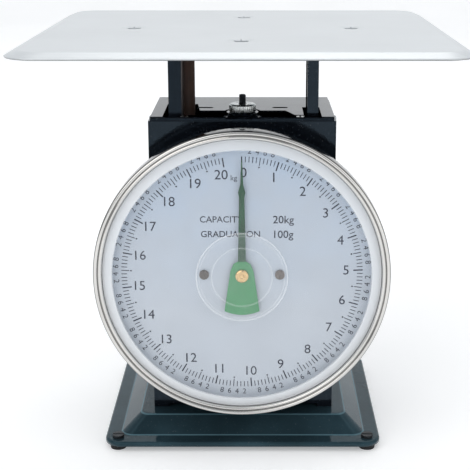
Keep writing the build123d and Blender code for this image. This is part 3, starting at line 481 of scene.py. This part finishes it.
def clear_moulding(name, flat_radius, inner_ring, outer_ring):
    """Clear moulded plastic: open over the flat, milky on the sloped rim and on its rings, whitened inside
    the outer ring by a faint painted reflection, with hairline scratches in its gloss. Radii are in metres."""
    finish = Finish(name, (0.92, 0.945, 0.97), 0.04, 0.0, IOR=1.49, Specular_IOR_Level=0.25)
    radius = finish.dial_radius()
    total = finish.spread(finish.noise(26.0, 4.0), 0.005, 0.03)
    total = finish.math("ADD", total, finish.spread(radius, 0.0, 0.55, flat_radius - 0.001, flat_radius))
    # Painted reflection: a faint white disc inside the outer ring stands in for the lens's reflection over
    # the middle of the dial.
    painted_reflection_disc = finish.spread(radius, 0.035, 0.0, outer_ring - 0.0012, outer_ring + 0.0002)
    total = finish.math("ADD", total, painted_reflection_disc)
    for ring, strength in ((inner_ring, 0.10), (outer_ring, 0.20), (outer_ring - 0.0018, 0.07)):
        away = finish.math("ABSOLUTE", finish.math("SUBTRACT", radius, ring))
        total = finish.math("ADD", total, finish.spread(away, strength, 0.0, 0.0002, 0.0006))
    finish.into(total, "Alpha")
    scratches = finish.noise(90.0, 6.0, (1, 1, 6), 0.7)
    finish.into(finish.spread(scratches, 0.03, 0.12, 0.4, 0.7), "Roughness")
    return finish.material


def pointer_paint(name, dark, light):
    """Pointer paint: dark along the blade, with a painted reflection making the tail lighter, and brush
    marks along its length.
    """
    finish = Finish(name, dark, 0.38, 0.0, Coat_Weight=0.3, Coat_Roughness=0.15)
    # Painted reflection: below the shoulder the tail takes the lighter green, for the lens's reflection
    # over the middle of the dial.
    shoulder = DIAL_CENTRE[1] * MM + 0.0092
    tail = finish.spread(finish.split()["Z"], 1.0, 0.0, shoulder, shoulder + 0.0008)
    grain = finish.spread(finish.noise(600.0, 3.0, (1, 1, 0.12)), 0.0, 0.6)
    blade = finish.mixed(grain, tinted(dark, 0.85), tinted(dark, 1.5))
    wide = finish.mixed(grain, tinted(light, 0.92), tinted(light, 1.12))
    finish.into(finish.mixed(tail, blade, wide), "Base Color")
    finish.bump(finish.noise(800.0, 3.0), 0.00002, 0.35)
    return finish.material


def ink(name, base):
    """Screen-printed ink: a little uneven in density."""
    finish = Finish(name, base, 0.55)
    density = finish.spread(finish.noise(420.0, 4.0), 0.0, 1.0)
    finish.into(finish.mixed(density, tinted(base, 0.8), tinted(base, 1.9)), "Base Color")
    return finish.material


def rubber(name, base=(0.012, 0.012, 0.013)):
    """Moulded rubber: matt, speckled, with fine pits."""
    finish = Finish(name, base, 0.78, 0.0, Specular_IOR_Level=0.3)
    specks = finish.spread(finish.noise(900.0, 3.0), 0.0, 1.0, 0.5, 0.75)
    finish.into(finish.mixed(specks, base, tinted(base, 3.5)), "Base Color")
    finish.bump(finish.noise(1200.0, 3.0), 0.00008, 0.5)
    return finish.material


MATERIALS = {}
WORN = {"left_upright": "upright_steel", "dial_screws": "bare_steel"}    # nodes with a finish of their own


def make_materials(shapes, colours):
    """Every finish of the scale by the record's slot name, and the ink of the dial."""
    black, zinc = tuple(colours.housing), tuple(colours.zinc)
    MATERIALS.update({
        "black_paint": enamel("housing_enamel", black, 0.08, 0.34, (0.55, 0.78, 1.0)),
        "base_paint": enamel(
            "base_enamel", tuple(colours.base), 0.10, 0.26, (0.34, 0.66, 0.80),
            # Painted highlight lines along the base's upper and lower bends.
            painted_highlight_bends=((edge("base_pan", 1, 2) - 0.45, 0.35), (edge("rubber_feet", 1, 2) + 1.6, 0.30)),
        ),
        "tray_metal": tray_sheet("tray_sheet", tuple(colours.tray), edge("tray", 0, 2) * MM),
        "upright_steel": mill_scale_steel("upright_steel", black),
        "bare_steel": brushed("link_steel", (0.20, 0.18, 0.17), 0.42, (1, 0.05, 0.4), 0.5),
        "spring_steel": brushed("spring_wire", (0.30, 0.30, 0.31), 0.28, (1, 1, 1), 0.6),
        "zinc": plated("zinc_plate", zinc, 0.24),
        "brass": plated("turned_brass", tuple(colours.brass), 0.20),
        "chrome": rolled_chrome("bezel_chrome", (0.66, 0.65, 0.63), edge("bezel", 1, 0) * MM),
        "clear_plastic": clear_moulding(
            "lens_plastic", shapes.lens_flat, shapes.inner_ring, shapes.outer_ring
        ),
        "dial_paint": dial_enamel("dial_lacquer", tuple(colours.dial)),
        # The tail colour passed here is a painted reflection.
        "pointer_green": pointer_paint(
            "pointer_paint", tuple(colours.pointer_dark), tuple(colours.pointer_light)
        ),
        "dial_ink": ink("dial_ink", tuple(colours.ink)),
        "rubber": rubber("foot_rubber"),
        "nylon": rubber("guide_nylon", (0.62, 0.60, 0.53)),
        "black_oxide": enamel("black_oxide", (0.012, 0.013, 0.015), 0.28),
    })


# ---- operators
class BENCHSCALE_OT_finishes(bpy.types.Operator):
    """Makes the finishes and gives each CAD node its own"""
    bl_idname = "benchscale.finishes"
    bl_label = "Finishes"

    def execute(self, context):
        make_materials(context.scene.benchscale_shapes, context.scene.benchscale_colours)
        for part in frame["record"]["subparts"]:
            node = frame["nodes"][part["node"]]
            key = WORN.get(part["node"], part["material_slot"])
            node.data.materials.clear()
            node.data.materials.append(MATERIALS[key])
        return {"FINISHED"}


class BENCHSCALE_OT_tray(bpy.types.Operator):
    """Builds the weighing tray: one sheet with a bent border, a hem and four dished screw seats"""
    bl_idname = "benchscale.tray"
    bl_label = "Tray"

    def execute(self, context):
        shapes = context.scene.benchscale_shapes
        half, top = edge("tray", 1, 0), edge("tray", 1, 2)
        bottom, sheet, sunk = edge("tray", 0, 2), 0.9, 0.16
        seat_depth, seat_radius, brow, brow_radius = 0.75, 6.8, 0.20, 9.0
        border, corner, drop = shapes.tray_border / MM, shapes.tray_corner / MM, shapes.tray_drop / MM
        rim = np.concatenate([np.linspace(0, 2.0, 6), np.linspace(2.8, border + 4.0, 12)])
        inner = np.linspace(-half + rim[-1], half - rim[-1], 150)
        line = np.concatenate([-half + rim[:-1], inner, (half - rim[:-1])[::-1]])
        across, deep = np.meshgrid(line, line, indexing="ij")
        # In a corner's square the larger offset becomes the distance from the corner's centre.
        side_x, side_y = (np.maximum(np.abs(v) - (half - corner), 0) for v in (across, deep))
        reach = np.hypot(side_x, side_y)
        pull = np.where(reach > 0, np.maximum(side_x, side_y) / np.where(reach > 0, reach, 1), 1)
        across = np.sign(across) * (np.minimum(np.abs(across), half - corner) + side_x * pull)
        deep = np.sign(deep) * (np.minimum(np.abs(deep), half - corner) + side_y * pull)
        inset = np.minimum(half - np.abs(across), half - np.abs(deep))
        in_corner = (side_x > 0) & (side_y > 0)
        inset = np.where(in_corner, corner - np.maximum(side_x, side_y), inset)
        # The border falls along a straight slope that eases in at the bend, then the hem turns down.
        slope = np.clip((border - inset) / border, 0, 1)
        bend = np.where(slope < 0.25, 2 * slope**2, slope - 0.125) / 0.875
        hem = np.clip((1.2 - inset) / 1.2, 0, 1) ** 2
        up = top - sunk - drop * bend - (top - sunk - bottom - drop - sheet) * hem
        # Each screw sits in a smooth dish with a low brow round it.
        screw = min(edge("tray_screws", 1, 0), half) - 5.0
        for x, y in ((screw, 0), (-screw, 0), (0, screw), (0, -screw)):
            away = np.hypot(across - x, deep - y)
            up -= seat_depth / (1 + np.exp((away - seat_radius) / 0.6))
            up += brow * np.exp(-((away - brow_radius) / 1.2) ** 2)
        up = np.minimum(up, top - 0.01)
        sheet_points = np.stack([across, deep, up], axis=-1)
        piece = add_piece(
            "weighing_tray", sheet_points, grid_faces(len(line), len(line)), "load_frame",
            MATERIALS["tray_metal"], ["tray"], sharp=60,
        )
        solid = piece.modifiers.new("sheet", "SOLIDIFY")
        solid.thickness, solid.offset = sheet * MM, -1
        return {"FINISHED"}


class BENCHSCALE_OT_base(bpy.types.Operator):
    """Builds the pressed base: a lip, a flange, sloped sides and a raised middle with round bends"""
    bl_idname = "benchscale.base"
    bl_label = "Base"

    def execute(self, context):
        shapes = context.scene.benchscale_shapes
        half_x, half_y = edge("base_pan", 1, 0), edge("base_pan", 1, 1)
        bottom, top, sheet = edge("base_pan", 0, 2), edge("base_pan", 1, 2), 1.2
        flange, run = shapes.base_flange / MM, shapes.base_slope / MM
        ledge, shoulder = edge("rubber_feet", 1, 2) + sheet, 9
        # Profile of (inset from the outer edge, height): lip, flange, slope, plateau.
        profile = rounded(
            [(0, bottom), (0, ledge), (flange, ledge), (flange + run, top),
             (flange + run + shoulder, top)],
            [0, 1.7, 4.0, 4.0, 0], steps=9,
        )
        inset, height = profile[:, 0], profile[:, 1]
        bends = [0, flange, flange + run, flange + run + shoulder]
        corner = np.interp(inset, bends, [12.0, 8.0, 6.0, 5.0])
        across, deep = rounded_rings(half_x - inset, half_y - inset, corner, 14)
        rings = np.stack([across, deep, height[:, None] + 0 * across], axis=-1)
        middle = np.repeat([[[0.0, 0.0, top]]], rings.shape[1], axis=1)
        points = np.concatenate([rings, middle])
        piece = add_piece(
            "pressed_base", points, grid_faces(len(points), points.shape[1], wrap_columns=True),
            "stand", MATERIALS["base_paint"], ["base_pan"], sharp=60,
        )
        solid = piece.modifiers.new("sheet", "SOLIDIFY")
        solid.thickness, solid.offset = sheet * MM, -1
        return {"FINISHED"}


class BENCHSCALE_OT_dial_case(bpy.types.Operator):
    """Turns the pan behind the dial, the rolled chrome bezel and the moulded lens"""
    bl_idname = "benchscale.dial_case"
    bl_label = "Dial case"

    def execute(self, context):
        shapes = context.scene.benchscale_shapes
        back = edge("dial_pan", 1, 1)
        radius, mouth = edge("dial_pan", 1, 0), edge("dial_pan", 0, 1)
        skin = rounded(
            [(0, back - 0.02), (88.5, back - 0.02), (radius - 0.1, back - 19), (radius - 0.1, mouth),
             (radius - 1.3, mouth), (radius - 1.3, back - 19.5), (88.0, back - 1.2), (0, back - 1.2)],
            [0, 9.0, 14.0, 0, 0, 13.0, 8.0, 0], steps=8,
        )
        add_piece("dial_case_pan", turned(skin), grid_faces(len(skin), DIAL_SEGMENTS, wrap_columns=True),
                  "stand", MATERIALS["black_paint"], ["dial_pan"])

        outer, front, rear = edge("bezel", 1, 0), edge("bezel", 0, 1), edge("bezel", 1, 1)
        # A bead at the outer edge, a shallow valley, a broad flank and a small returned lip.
        ring = rounded(
            [(outer, rear), (outer, front + 0.5), (outer - 2.2, front), (outer - 2.9, front + 1.3),
             (outer - 4.6, front + 0.4), (outer - 6.1, front + 2.8), (outer - 5.2, front + 3.0),
             (outer - 1.1, front + 3.0), (outer - 1.1, rear)],
            [0.3, 1.5, 0.9, 0.5, 1.6, 0.25, 0.2, 0.4, 0.3], steps=6, closed=True,
        )
        segments = 256
        add_piece("rolled_bezel", turned(ring, segments),
                  grid_faces(len(ring), segments, wrap_rows=True, wrap_columns=True),
                  "stand", MATERIALS["chrome"], ["bezel"], sharp=50)

        face, seat, rim = edge("lens", 0, 1) + 0.3, edge("lens", 1, 1), edge("lens", 1, 0)
        flat, wall = shapes.lens_flat / MM, 1.4
        # The flat has a soft ridge at each moulded ring.
        radii = np.linspace(0, flat - 1, 200)
        crown = np.full_like(radii, face)
        for ring_radius in (shapes.inner_ring / MM, shapes.outer_ring / MM):
            crown -= 0.28 * np.exp(-(((radii - ring_radius) / 0.55) ** 2))
        slope = rounded(
            [(flat - 1, face), (flat, face), (rim - 5.5, seat - 1.5), (rim, seat - 1.5), (rim, seat),
             (rim - 6.1, seat), (flat - 0.6, face + wall), (0, face + wall)],
            [0, 1.5, 1.0, 0, 0, 0.8, 1.0, 0], steps=6,
        )
        shell = np.concatenate([np.stack([radii, crown], axis=1), slope[1:]])
        add_piece("moulded_lens", turned(shell), grid_faces(len(shell), DIAL_SEGMENTS, wrap_columns=True),
                  "stand", MATERIALS["clear_plastic"], ["lens"], sharp=50)
        return {"FINISHED"}


def lettering(text, size, place, turn=0.0, weight=0.0):
    """A word or figure as flat triangles on the dial: points are its letter outline's (across, up),
    turned clockwise and moved to place, in millimetres, with its height set by its own figures."""
    curve = bpy.data.curves.new("lettering", "FONT")
    curve.body, curve.align_x, curve.align_y = text, "CENTER", "CENTER"
    curve.resolution_u = 4
    curve.offset = weight
    holder = bpy.data.objects.new("lettering", curve)
    mesh = bpy.data.meshes.new_from_object(holder)
    count = len(mesh.vertices)
    flat = np.empty(count * 3)
    mesh.vertices.foreach_get("co", flat)
    flat = flat.reshape(-1, 3)[:, :2]
    mesh.calc_loop_triangles()
    triangles = np.empty(len(mesh.loop_triangles) * 3, int)
    mesh.loop_triangles.foreach_get("vertices", triangles)
    bpy.data.objects.remove(holder)
    bpy.data.curves.remove(curve)
    bpy.data.meshes.remove(mesh)
    flat = flat * size / CAPITAL_HEIGHT
    cos, sin = math.cos(turn), math.sin(turn)
    across = place[0] + flat[:, 0] * cos + flat[:, 1] * sin
    up = place[1] - flat[:, 0] * sin + flat[:, 1] * cos
    return across, up, triangles.reshape(-1, 3).tolist()


class BENCHSCALE_OT_dial_print(bpy.types.Operator):
    """Prints the divisions and figures on the dial"""
    bl_idname = "benchscale.dial_print"
    bl_label = "Dial print"

    def execute(self, context):
        shapes = context.scene.benchscale_shapes
        depth = edge("dial_plate", 0, 1) - 0.04
        outer, step, capacity = shapes.tick_radius / MM, shapes.turn_per_kg, shapes.capacity
        dot_radius, dot_circle = 0.55, outer - 6.4
        prints = []
        # One stroke for every 100 g: longest at each kilogram, longer at each half.
        index = np.arange(capacity * 10 + 1)
        inner = np.where(index % 10 == 0, outer - 6.2, np.where(index % 5 == 0, outer - 5.2, outer - 3.8))
        width = np.where(index % 10 == 0, 0.42, 0.25)
        angle = index * step / 10
        along = np.stack([np.sin(angle), np.cos(angle)], axis=-1)
        beside = np.stack([np.cos(angle), -np.sin(angle)], axis=-1)
        ends = np.stack([inner, inner, np.full_like(inner, outer), np.full_like(inner, outer)], axis=1)
        sides = np.stack([-width, width, width, -width], axis=1)
        strokes = along[:, None] * ends[..., None] + beside[:, None] * sides[..., None]
        stroke_faces = np.arange(strokes.shape[0] * 4).reshape(-1, 4).tolist()
        prints.append((strokes[..., 0].ravel(), strokes[..., 1].ravel(), stroke_faces))
        # A dot inside each half-kilogram stroke.
        half = (np.arange(capacity) + 0.5) * step
        round_dot = np.linspace(0, 2 * math.pi, 14, endpoint=False)
        across = dot_circle * np.sin(half)[:, None] + dot_radius * np.cos(round_dot)
        up = dot_circle * np.cos(half)[:, None] + dot_radius * np.sin(round_dot)
        dot_faces = np.arange(across.size).reshape(across.shape).tolist()
        prints.append((across.ravel(), up.ravel(), dot_faces))
        numeral, small = shapes.numeral_height / MM, shapes.small_height / MM
        numeral_circle, small_circle = outer - 11.0, outer + 3.6
        for kilo in range(capacity + 1):
            turn = kilo * step
            place = (numeral_circle * math.sin(turn), numeral_circle * math.cos(turn))
            if kilo == capacity:
                place = (place[0] - 2.6, place[1] - 0.6)
                prints.append(lettering("kg", small * 0.95, (place[0] + 8.2, place[1] - 1.9)))
            elif kilo == 0:
                place = (place[0] + 1.2, place[1])
            prints.append(lettering(str(kilo), numeral, place))
        for tenth in range(2, capacity * 10, 2):
            if tenth % 10 == 0:
                continue
            turn = tenth * step / 10
            place = (small_circle * math.sin(turn), small_circle * math.cos(turn))
            upright = turn if math.cos(turn) >= 0 else turn + math.pi
            prints.append(lettering(str(tenth % 10), small, place, upright))
        for text, x, z, height in (
            ("CAPACITY", -13.6, 37.6, 4.2), ("20kg", 27.2, 37.4, 5.1),
            ("GRADUATION", -7.4, 27.6, 4.2), ("100g", 26.8, 27.4, 5.1),
        ):
            prints.append(lettering(text, height, (x, z), weight=0.006))
        flat = [
            (np.stack([a + DIAL_CENTRE[0], np.full_like(a, depth), u + DIAL_CENTRE[1]], axis=-1), f)
            for a, u, f in prints
        ]
        points, faces = joined(flat)
        piece = add_piece("dial_print", points, faces, "stand", MATERIALS["dial_ink"])
        solid = piece.modifiers.new("ink", "SOLIDIFY")
        solid.thickness, solid.offset = 0.03 * MM, 0
        return {"FINISHED"}


class BENCHSCALE_OT_pointer(bpy.types.Operator):
    """Builds the stamped pointer and its turned hub cap"""
    bl_idname = "benchscale.pointer"
    bl_label = "Pointer"

    def execute(self, context):
        back, front = edge("pointer", 1, 1), edge("pointer", 0, 1)
        tip = edge("pointer", 1, 2) - DIAL_CENTRE[1]
        tail = DIAL_CENTRE[1] - edge("pointer", 0, 2)
        # Half width along the length: fan-shaped tail, shoulders, shaft, spear head and the thin tip.
        fan_end, around = 24.8, 24
        stations = [-fan_end, 3.0, 8.0, 10.0, 53.6, 56.6, 62.0, tip]
        halves = [11.7, 7.7, 5.6, 2.6, 1.75, 2.4, 1.0, 0.35]
        height = np.unique(np.concatenate([
            -tail * np.cos(np.linspace(0, math.acos(fan_end / tail), 12)),
            np.linspace(-fan_end, tip, 150), stations,
        ]))
        half = np.interp(height, stations, halves)
        end_arc = np.sqrt(np.maximum(tail**2 - height**2, 0.0))
        half = np.where(height < -fan_end, end_arc, half)
        # The section is a flat strip with eased edges.
        thick = back - front
        turn = np.linspace(0, 2 * math.pi, around, endpoint=False)
        wide = np.sign(np.cos(turn)) * np.abs(np.cos(turn)) ** 0.35
        deep = np.sign(np.sin(turn)) * np.abs(np.sin(turn)) ** 0.35
        across = half[:, None] * wide
        depth = (front + back) / 2 + thick / 2 * deep[None, :] + 0 * across
        body = np.stack([across, depth, DIAL_CENTRE[1] + height[:, None] + 0 * across], axis=-1)
        first, last = (
            np.repeat(row.mean(axis=1, keepdims=True), around, axis=1) for row in (body[:1], body[-1:])
        )
        points = np.concatenate([first, body, last])
        add_piece("stamped_pointer", points, grid_faces(len(points), around, wrap_columns=True),
                  "pointer_arbor", MATERIALS["pointer_green"], ["pointer"], sharp=35)

        base, nose = edge("hub_cap", 1, 1), edge("hub_cap", 0, 1)
        cap = rounded(
            [(2.0, base), (4.4, base), (4.4, nose + 0.7), (3.2, nose + 0.05), (1.6, nose + 0.1),
             (1.2, nose + 0.55), (0, nose + 0.55)],
            [0, 0.2, 0.7, 0.6, 0.3, 0.3, 0], steps=6,
        )
        closed = np.concatenate([cap, [[0, base - 0.9], [2.0, base - 0.9], [2.0, base]]])
        segments = 72
        add_piece("turned_hub_cap", turned(closed, segments),
                  grid_faces(len(closed), segments, wrap_columns=True),
                  "pointer_arbor", MATERIALS["brass"], ["hub_cap"], sharp=35)
        return {"FINISHED"}


class BENCHSCALE_OT_zero_adjuster(bpy.types.Operator):
    """Builds the knurled zero nut and the threaded zero stud"""
    bl_idname = "benchscale.zero_adjuster"
    bl_label = "Zero adjuster"

    def execute(self, context):
        low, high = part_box("zero_nut")
        centre = ((low[0] + high[0]) / 2 / MM, (low[1] + high[1]) / 2 / MM)
        bottom, top, radius = low[2] / MM, high[2] / MM, (high[0] - low[0]) / 2 / MM
        bore, flutes = 2.56, 30
        loop = rounded(
            [(bore + 0.4, bottom), (radius - 0.9, bottom), (radius, bottom + 0.7), (radius, top - 0.9),
             (radius - 1.3, top), (bore + 0.6, top), (bore, top - 0.5), (bore, bottom + 0.4)],
            [0.1, 0.3, 0.3, 0.3, 0.4, 0.2, 0.1, 0.1], steps=4, closed=True,
        )

        def knurl(profile, turn):
            """Flutes only where the profile is near the outer wall."""
            wall = np.clip((profile[:, :1] - (radius - 0.8)) / 0.8, 0, 1)
            return 1 - 0.028 * wall * (0.5 - 0.5 * np.cos(flutes * turn)) ** 3

        segments = flutes * 10
        add_piece("knurled_zero_nut", upright_turned(loop, centre, segments, knurl),
                  grid_faces(len(loop), segments, wrap_rows=True, wrap_columns=True),
                  "zero_nut", MATERIALS["zinc"], ["zero_nut"], sharp=55)

        low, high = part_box("zero_stud")
        foot, head, stud = low[2] / MM, high[2] / MM, (high[0] - low[0]) / 2 / MM
        pitch, depth, segments = 0.8, 0.42, 48
        body = np.arange(foot + 0.5, head - 0.5, 0.1)
        profile = np.concatenate([
            [[0, foot]], [[stud - 0.6, foot]], np.stack([np.full_like(body, stud), body], axis=1),
            [[stud - 0.5, head], [1.2, head], [1.0, head - 0.7], [0, head - 0.9]],
        ])

        def thread(rows, turn):
            """A V groove that climbs one pitch a turn, over the rows of full radius."""
            phase = (rows[:, 1:] / pitch - turn / (2 * math.pi)) % 1.0
            groove = 1 - np.abs(2 * phase - 1)
            full = rows[:, :1] >= stud - 0.01
            return np.where(full, 1 - depth / stud * (1 - groove), 1.0)

        add_piece("threaded_zero_stud", upright_turned(profile, centre, segments, thread),
                  grid_faces(len(profile), segments, wrap_columns=True),
                  "zero_yoke", MATERIALS["black_oxide"], ["zero_stud"], sharp=70)
        return {"FINISHED"}


class BENCHSCALE_OT_springs(bpy.types.Operator):
    """Winds the two extension springs, which stretch to the load frame, and their hooks on the yoke"""
    bl_idname = "benchscale.springs"
    bl_label = "Springs"

    def execute(self, context):
        wire, turns, steps = 1.0, 24, 32
        for node in ("left_spring", "right_spring"):
            low, high = (np.array(corner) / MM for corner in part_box(node))
            centre = (low + high) / 2
            radius = (high[0] - low[0]) / 2 - wire
            bottom, top = low[2] + wire + radius, high[2] - wire - radius
            turn = np.linspace(0, 1, turns * steps + 1) * turns * 2 * math.pi + math.pi / 2
            outward = np.stack([np.cos(turn), np.sin(turn), 0 * turn], axis=-1)
            rise = np.linspace(bottom, top, len(turn))
            coil = radius * outward + np.array([centre[0], centre[1], 0.0])
            coil[:, 2] = rise
            skin = tube(coil, outward, wire)
            coil_shape = (skin, grid_faces(len(skin), WIRE_SIDES, wrap_columns=True))
            # An end ring turned across the coil, opened by a small gap; the upper one rides on the yoke.
            round_angle = np.linspace(0.0, 2 * math.pi * 0.97, 48)
            away = np.stack([0 * round_angle, np.cos(round_angle), np.sin(round_angle)], axis=-1)
            lower, upper = (
                tube(np.array([centre[0], centre[1], height]) + radius * away, away, wire * 0.95)
                for height in (bottom, top)
            )
            ring_faces = grid_faces(len(lower), WIRE_SIDES, wrap_columns=True)
            add_piece("hook_of_" + node, upper, ring_faces, "zero_yoke",
                      MATERIALS["spring_steel"])
            points, faces = joined([coil_shape, (lower, ring_faces)])
            piece = add_piece(
                "wound_" + node, points, faces, None, MATERIALS["spring_steel"], [node]
            )
            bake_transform(piece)
        return {"FINISHED"}


def point_at(holder, aim):
    """Turns an object so that its -Z looks at a point."""
    way = Vector(aim) - holder.location
    holder.rotation_euler = way.to_track_quat("-Z", "Y").to_euler()


class BENCHSCALE_OT_stage(bpy.types.Operator):
    """Sets the pale floor, the soft studio light and the camera"""
    bl_idname = "benchscale.stage"
    bl_label = "Stage"

    def execute(self, context):
        # A floor that curves up into a backdrop behind the scale; rows are (depth, height) in metres.
        turn = np.linspace(0, math.pi / 2, 16)
        floor = np.concatenate([
            [[-25.0, 0.0]],
            np.stack([2.6 + 1.2 * np.sin(turn), 1.2 - 1.2 * np.cos(turn)], axis=-1),
            [[3.8, 9.0]],
        ])
        across = np.array([-25.0, 25.0])
        points = np.stack([
            np.broadcast_to(across, (len(floor), 2)), np.repeat(floor[:, :1], 2, 1),
            np.repeat(floor[:, 1:], 2, 1),
        ], axis=-1).reshape(-1, 3)
        mesh = bpy.data.meshes.new("studio_floor")
        mesh.from_pydata(points, [], grid_faces(len(floor), 2))
        mesh.shade_smooth()
        finish = Finish("studio_paper", (0.86, 0.865, 0.87), 0.85)
        paper_tone = finish.mixed(finish.spread(finish.noise(3.0), 0, 1), (0.85, 0.855, 0.86),
                                  (0.88, 0.885, 0.89))
        finish.into(paper_tone, "Base Color")
        finish.into(paper_tone, "Emission Color")
        finish.shader.inputs["Emission Strength"].default_value = 0.32
        mesh.materials.append(finish.material)
        paper = bpy.data.objects.new("studio_floor", mesh)
        context.scene.collection.objects.link(paper)

        world = bpy.data.worlds.new("studio")
        world.use_nodes = True
        sky = world.node_tree.nodes["Background"]
        sky.inputs["Color"].default_value = (0.93, 0.96, 1.0, 1)
        sky.inputs["Strength"].default_value = 0.50
        context.scene.world = world
        aim = np.array([0.0, 0.0, 0.14])
        for name, place, size, power in (
            ("key_softbox", (-1.3, -1.6, 1.5), 2.4, 24.0),
            ("fill_softbox", (1.7, -1.4, 0.9), 2.4, 12.0),
            ("top_softbox", (0.1, 0.0, 2.3), 2.4, 9.0),
            ("back_strip", (0.2, 1.9, 2.8), 1.6, 10.0),
        ):
            lamp = bpy.data.lights.new(name, "AREA")
            lamp.energy, lamp.size = power, size
            lamp.color = (1.0, 0.985, 0.965)
            holder = bpy.data.objects.new(name, lamp)
            context.scene.collection.objects.link(holder)
            holder.location = place
            point_at(holder, aim)

        look_down = math.radians(14.1)
        camera = bpy.data.cameras.new("product_camera")
        camera.sensor_width, camera.lens = 36.0, 87.0
        camera.shift_x, camera.shift_y = -0.047, -0.10
        camera.clip_start = 0.05
        holder = bpy.data.objects.new("product_camera", camera)
        context.scene.collection.objects.link(holder)
        holder.location = (0.010, -0.790, 0.366)
        holder.rotation_euler = (math.pi / 2 - look_down, 0, 0)
        context.scene.camera = holder
        context.scene.view_settings.view_transform = "Standard"
        return {"FINISHED"}


class BENCHSCALE_PT_panel(bpy.types.Panel):
    """The steps that build the scale, and its sizes and colours"""
    bl_idname = "BENCHSCALE_PT_panel"
    bl_label = "Bench Scale"
    bl_space_type = "VIEW_3D"
    bl_region_type = "UI"
    bl_category = "Bench Scale"

    def draw(self, context):
        for operator in STEPS:
            self.layout.operator(operator.bl_idname)
        for group in (context.scene.benchscale_shapes, context.scene.benchscale_colours):
            for name in group.bl_rna.properties.keys():
                if name not in ("rna_type", "name"):
                    self.layout.prop(group, name)


STEPS = (
    BENCHSCALE_OT_finishes,
    BENCHSCALE_OT_tray,
    BENCHSCALE_OT_base,
    BENCHSCALE_OT_dial_case,
    BENCHSCALE_OT_dial_print,
    BENCHSCALE_OT_pointer,
    BENCHSCALE_OT_zero_adjuster,
    BENCHSCALE_OT_springs,
    BENCHSCALE_OT_stage,
)
CLASSES = (BenchScaleShapes, BenchScaleColours, *STEPS, BENCHSCALE_PT_panel)


def register():
    for each in CLASSES:
        bpy.utils.register_class(each)
    bpy.types.Scene.benchscale_shapes = PointerProperty(type=BenchScaleShapes)
    bpy.types.Scene.benchscale_colours = PointerProperty(type=BenchScaleColours)


def unregister():
    del bpy.types.Scene.benchscale_colours
    del bpy.types.Scene.benchscale_shapes
    for each in reversed(CLASSES):
        bpy.utils.unregister_class(each)


def main():
    register()
    for operator in STEPS:
        getattr(bpy.ops.benchscale, operator.bl_idname.split(".")[1])()


if __name__ == "__main__":
    main()
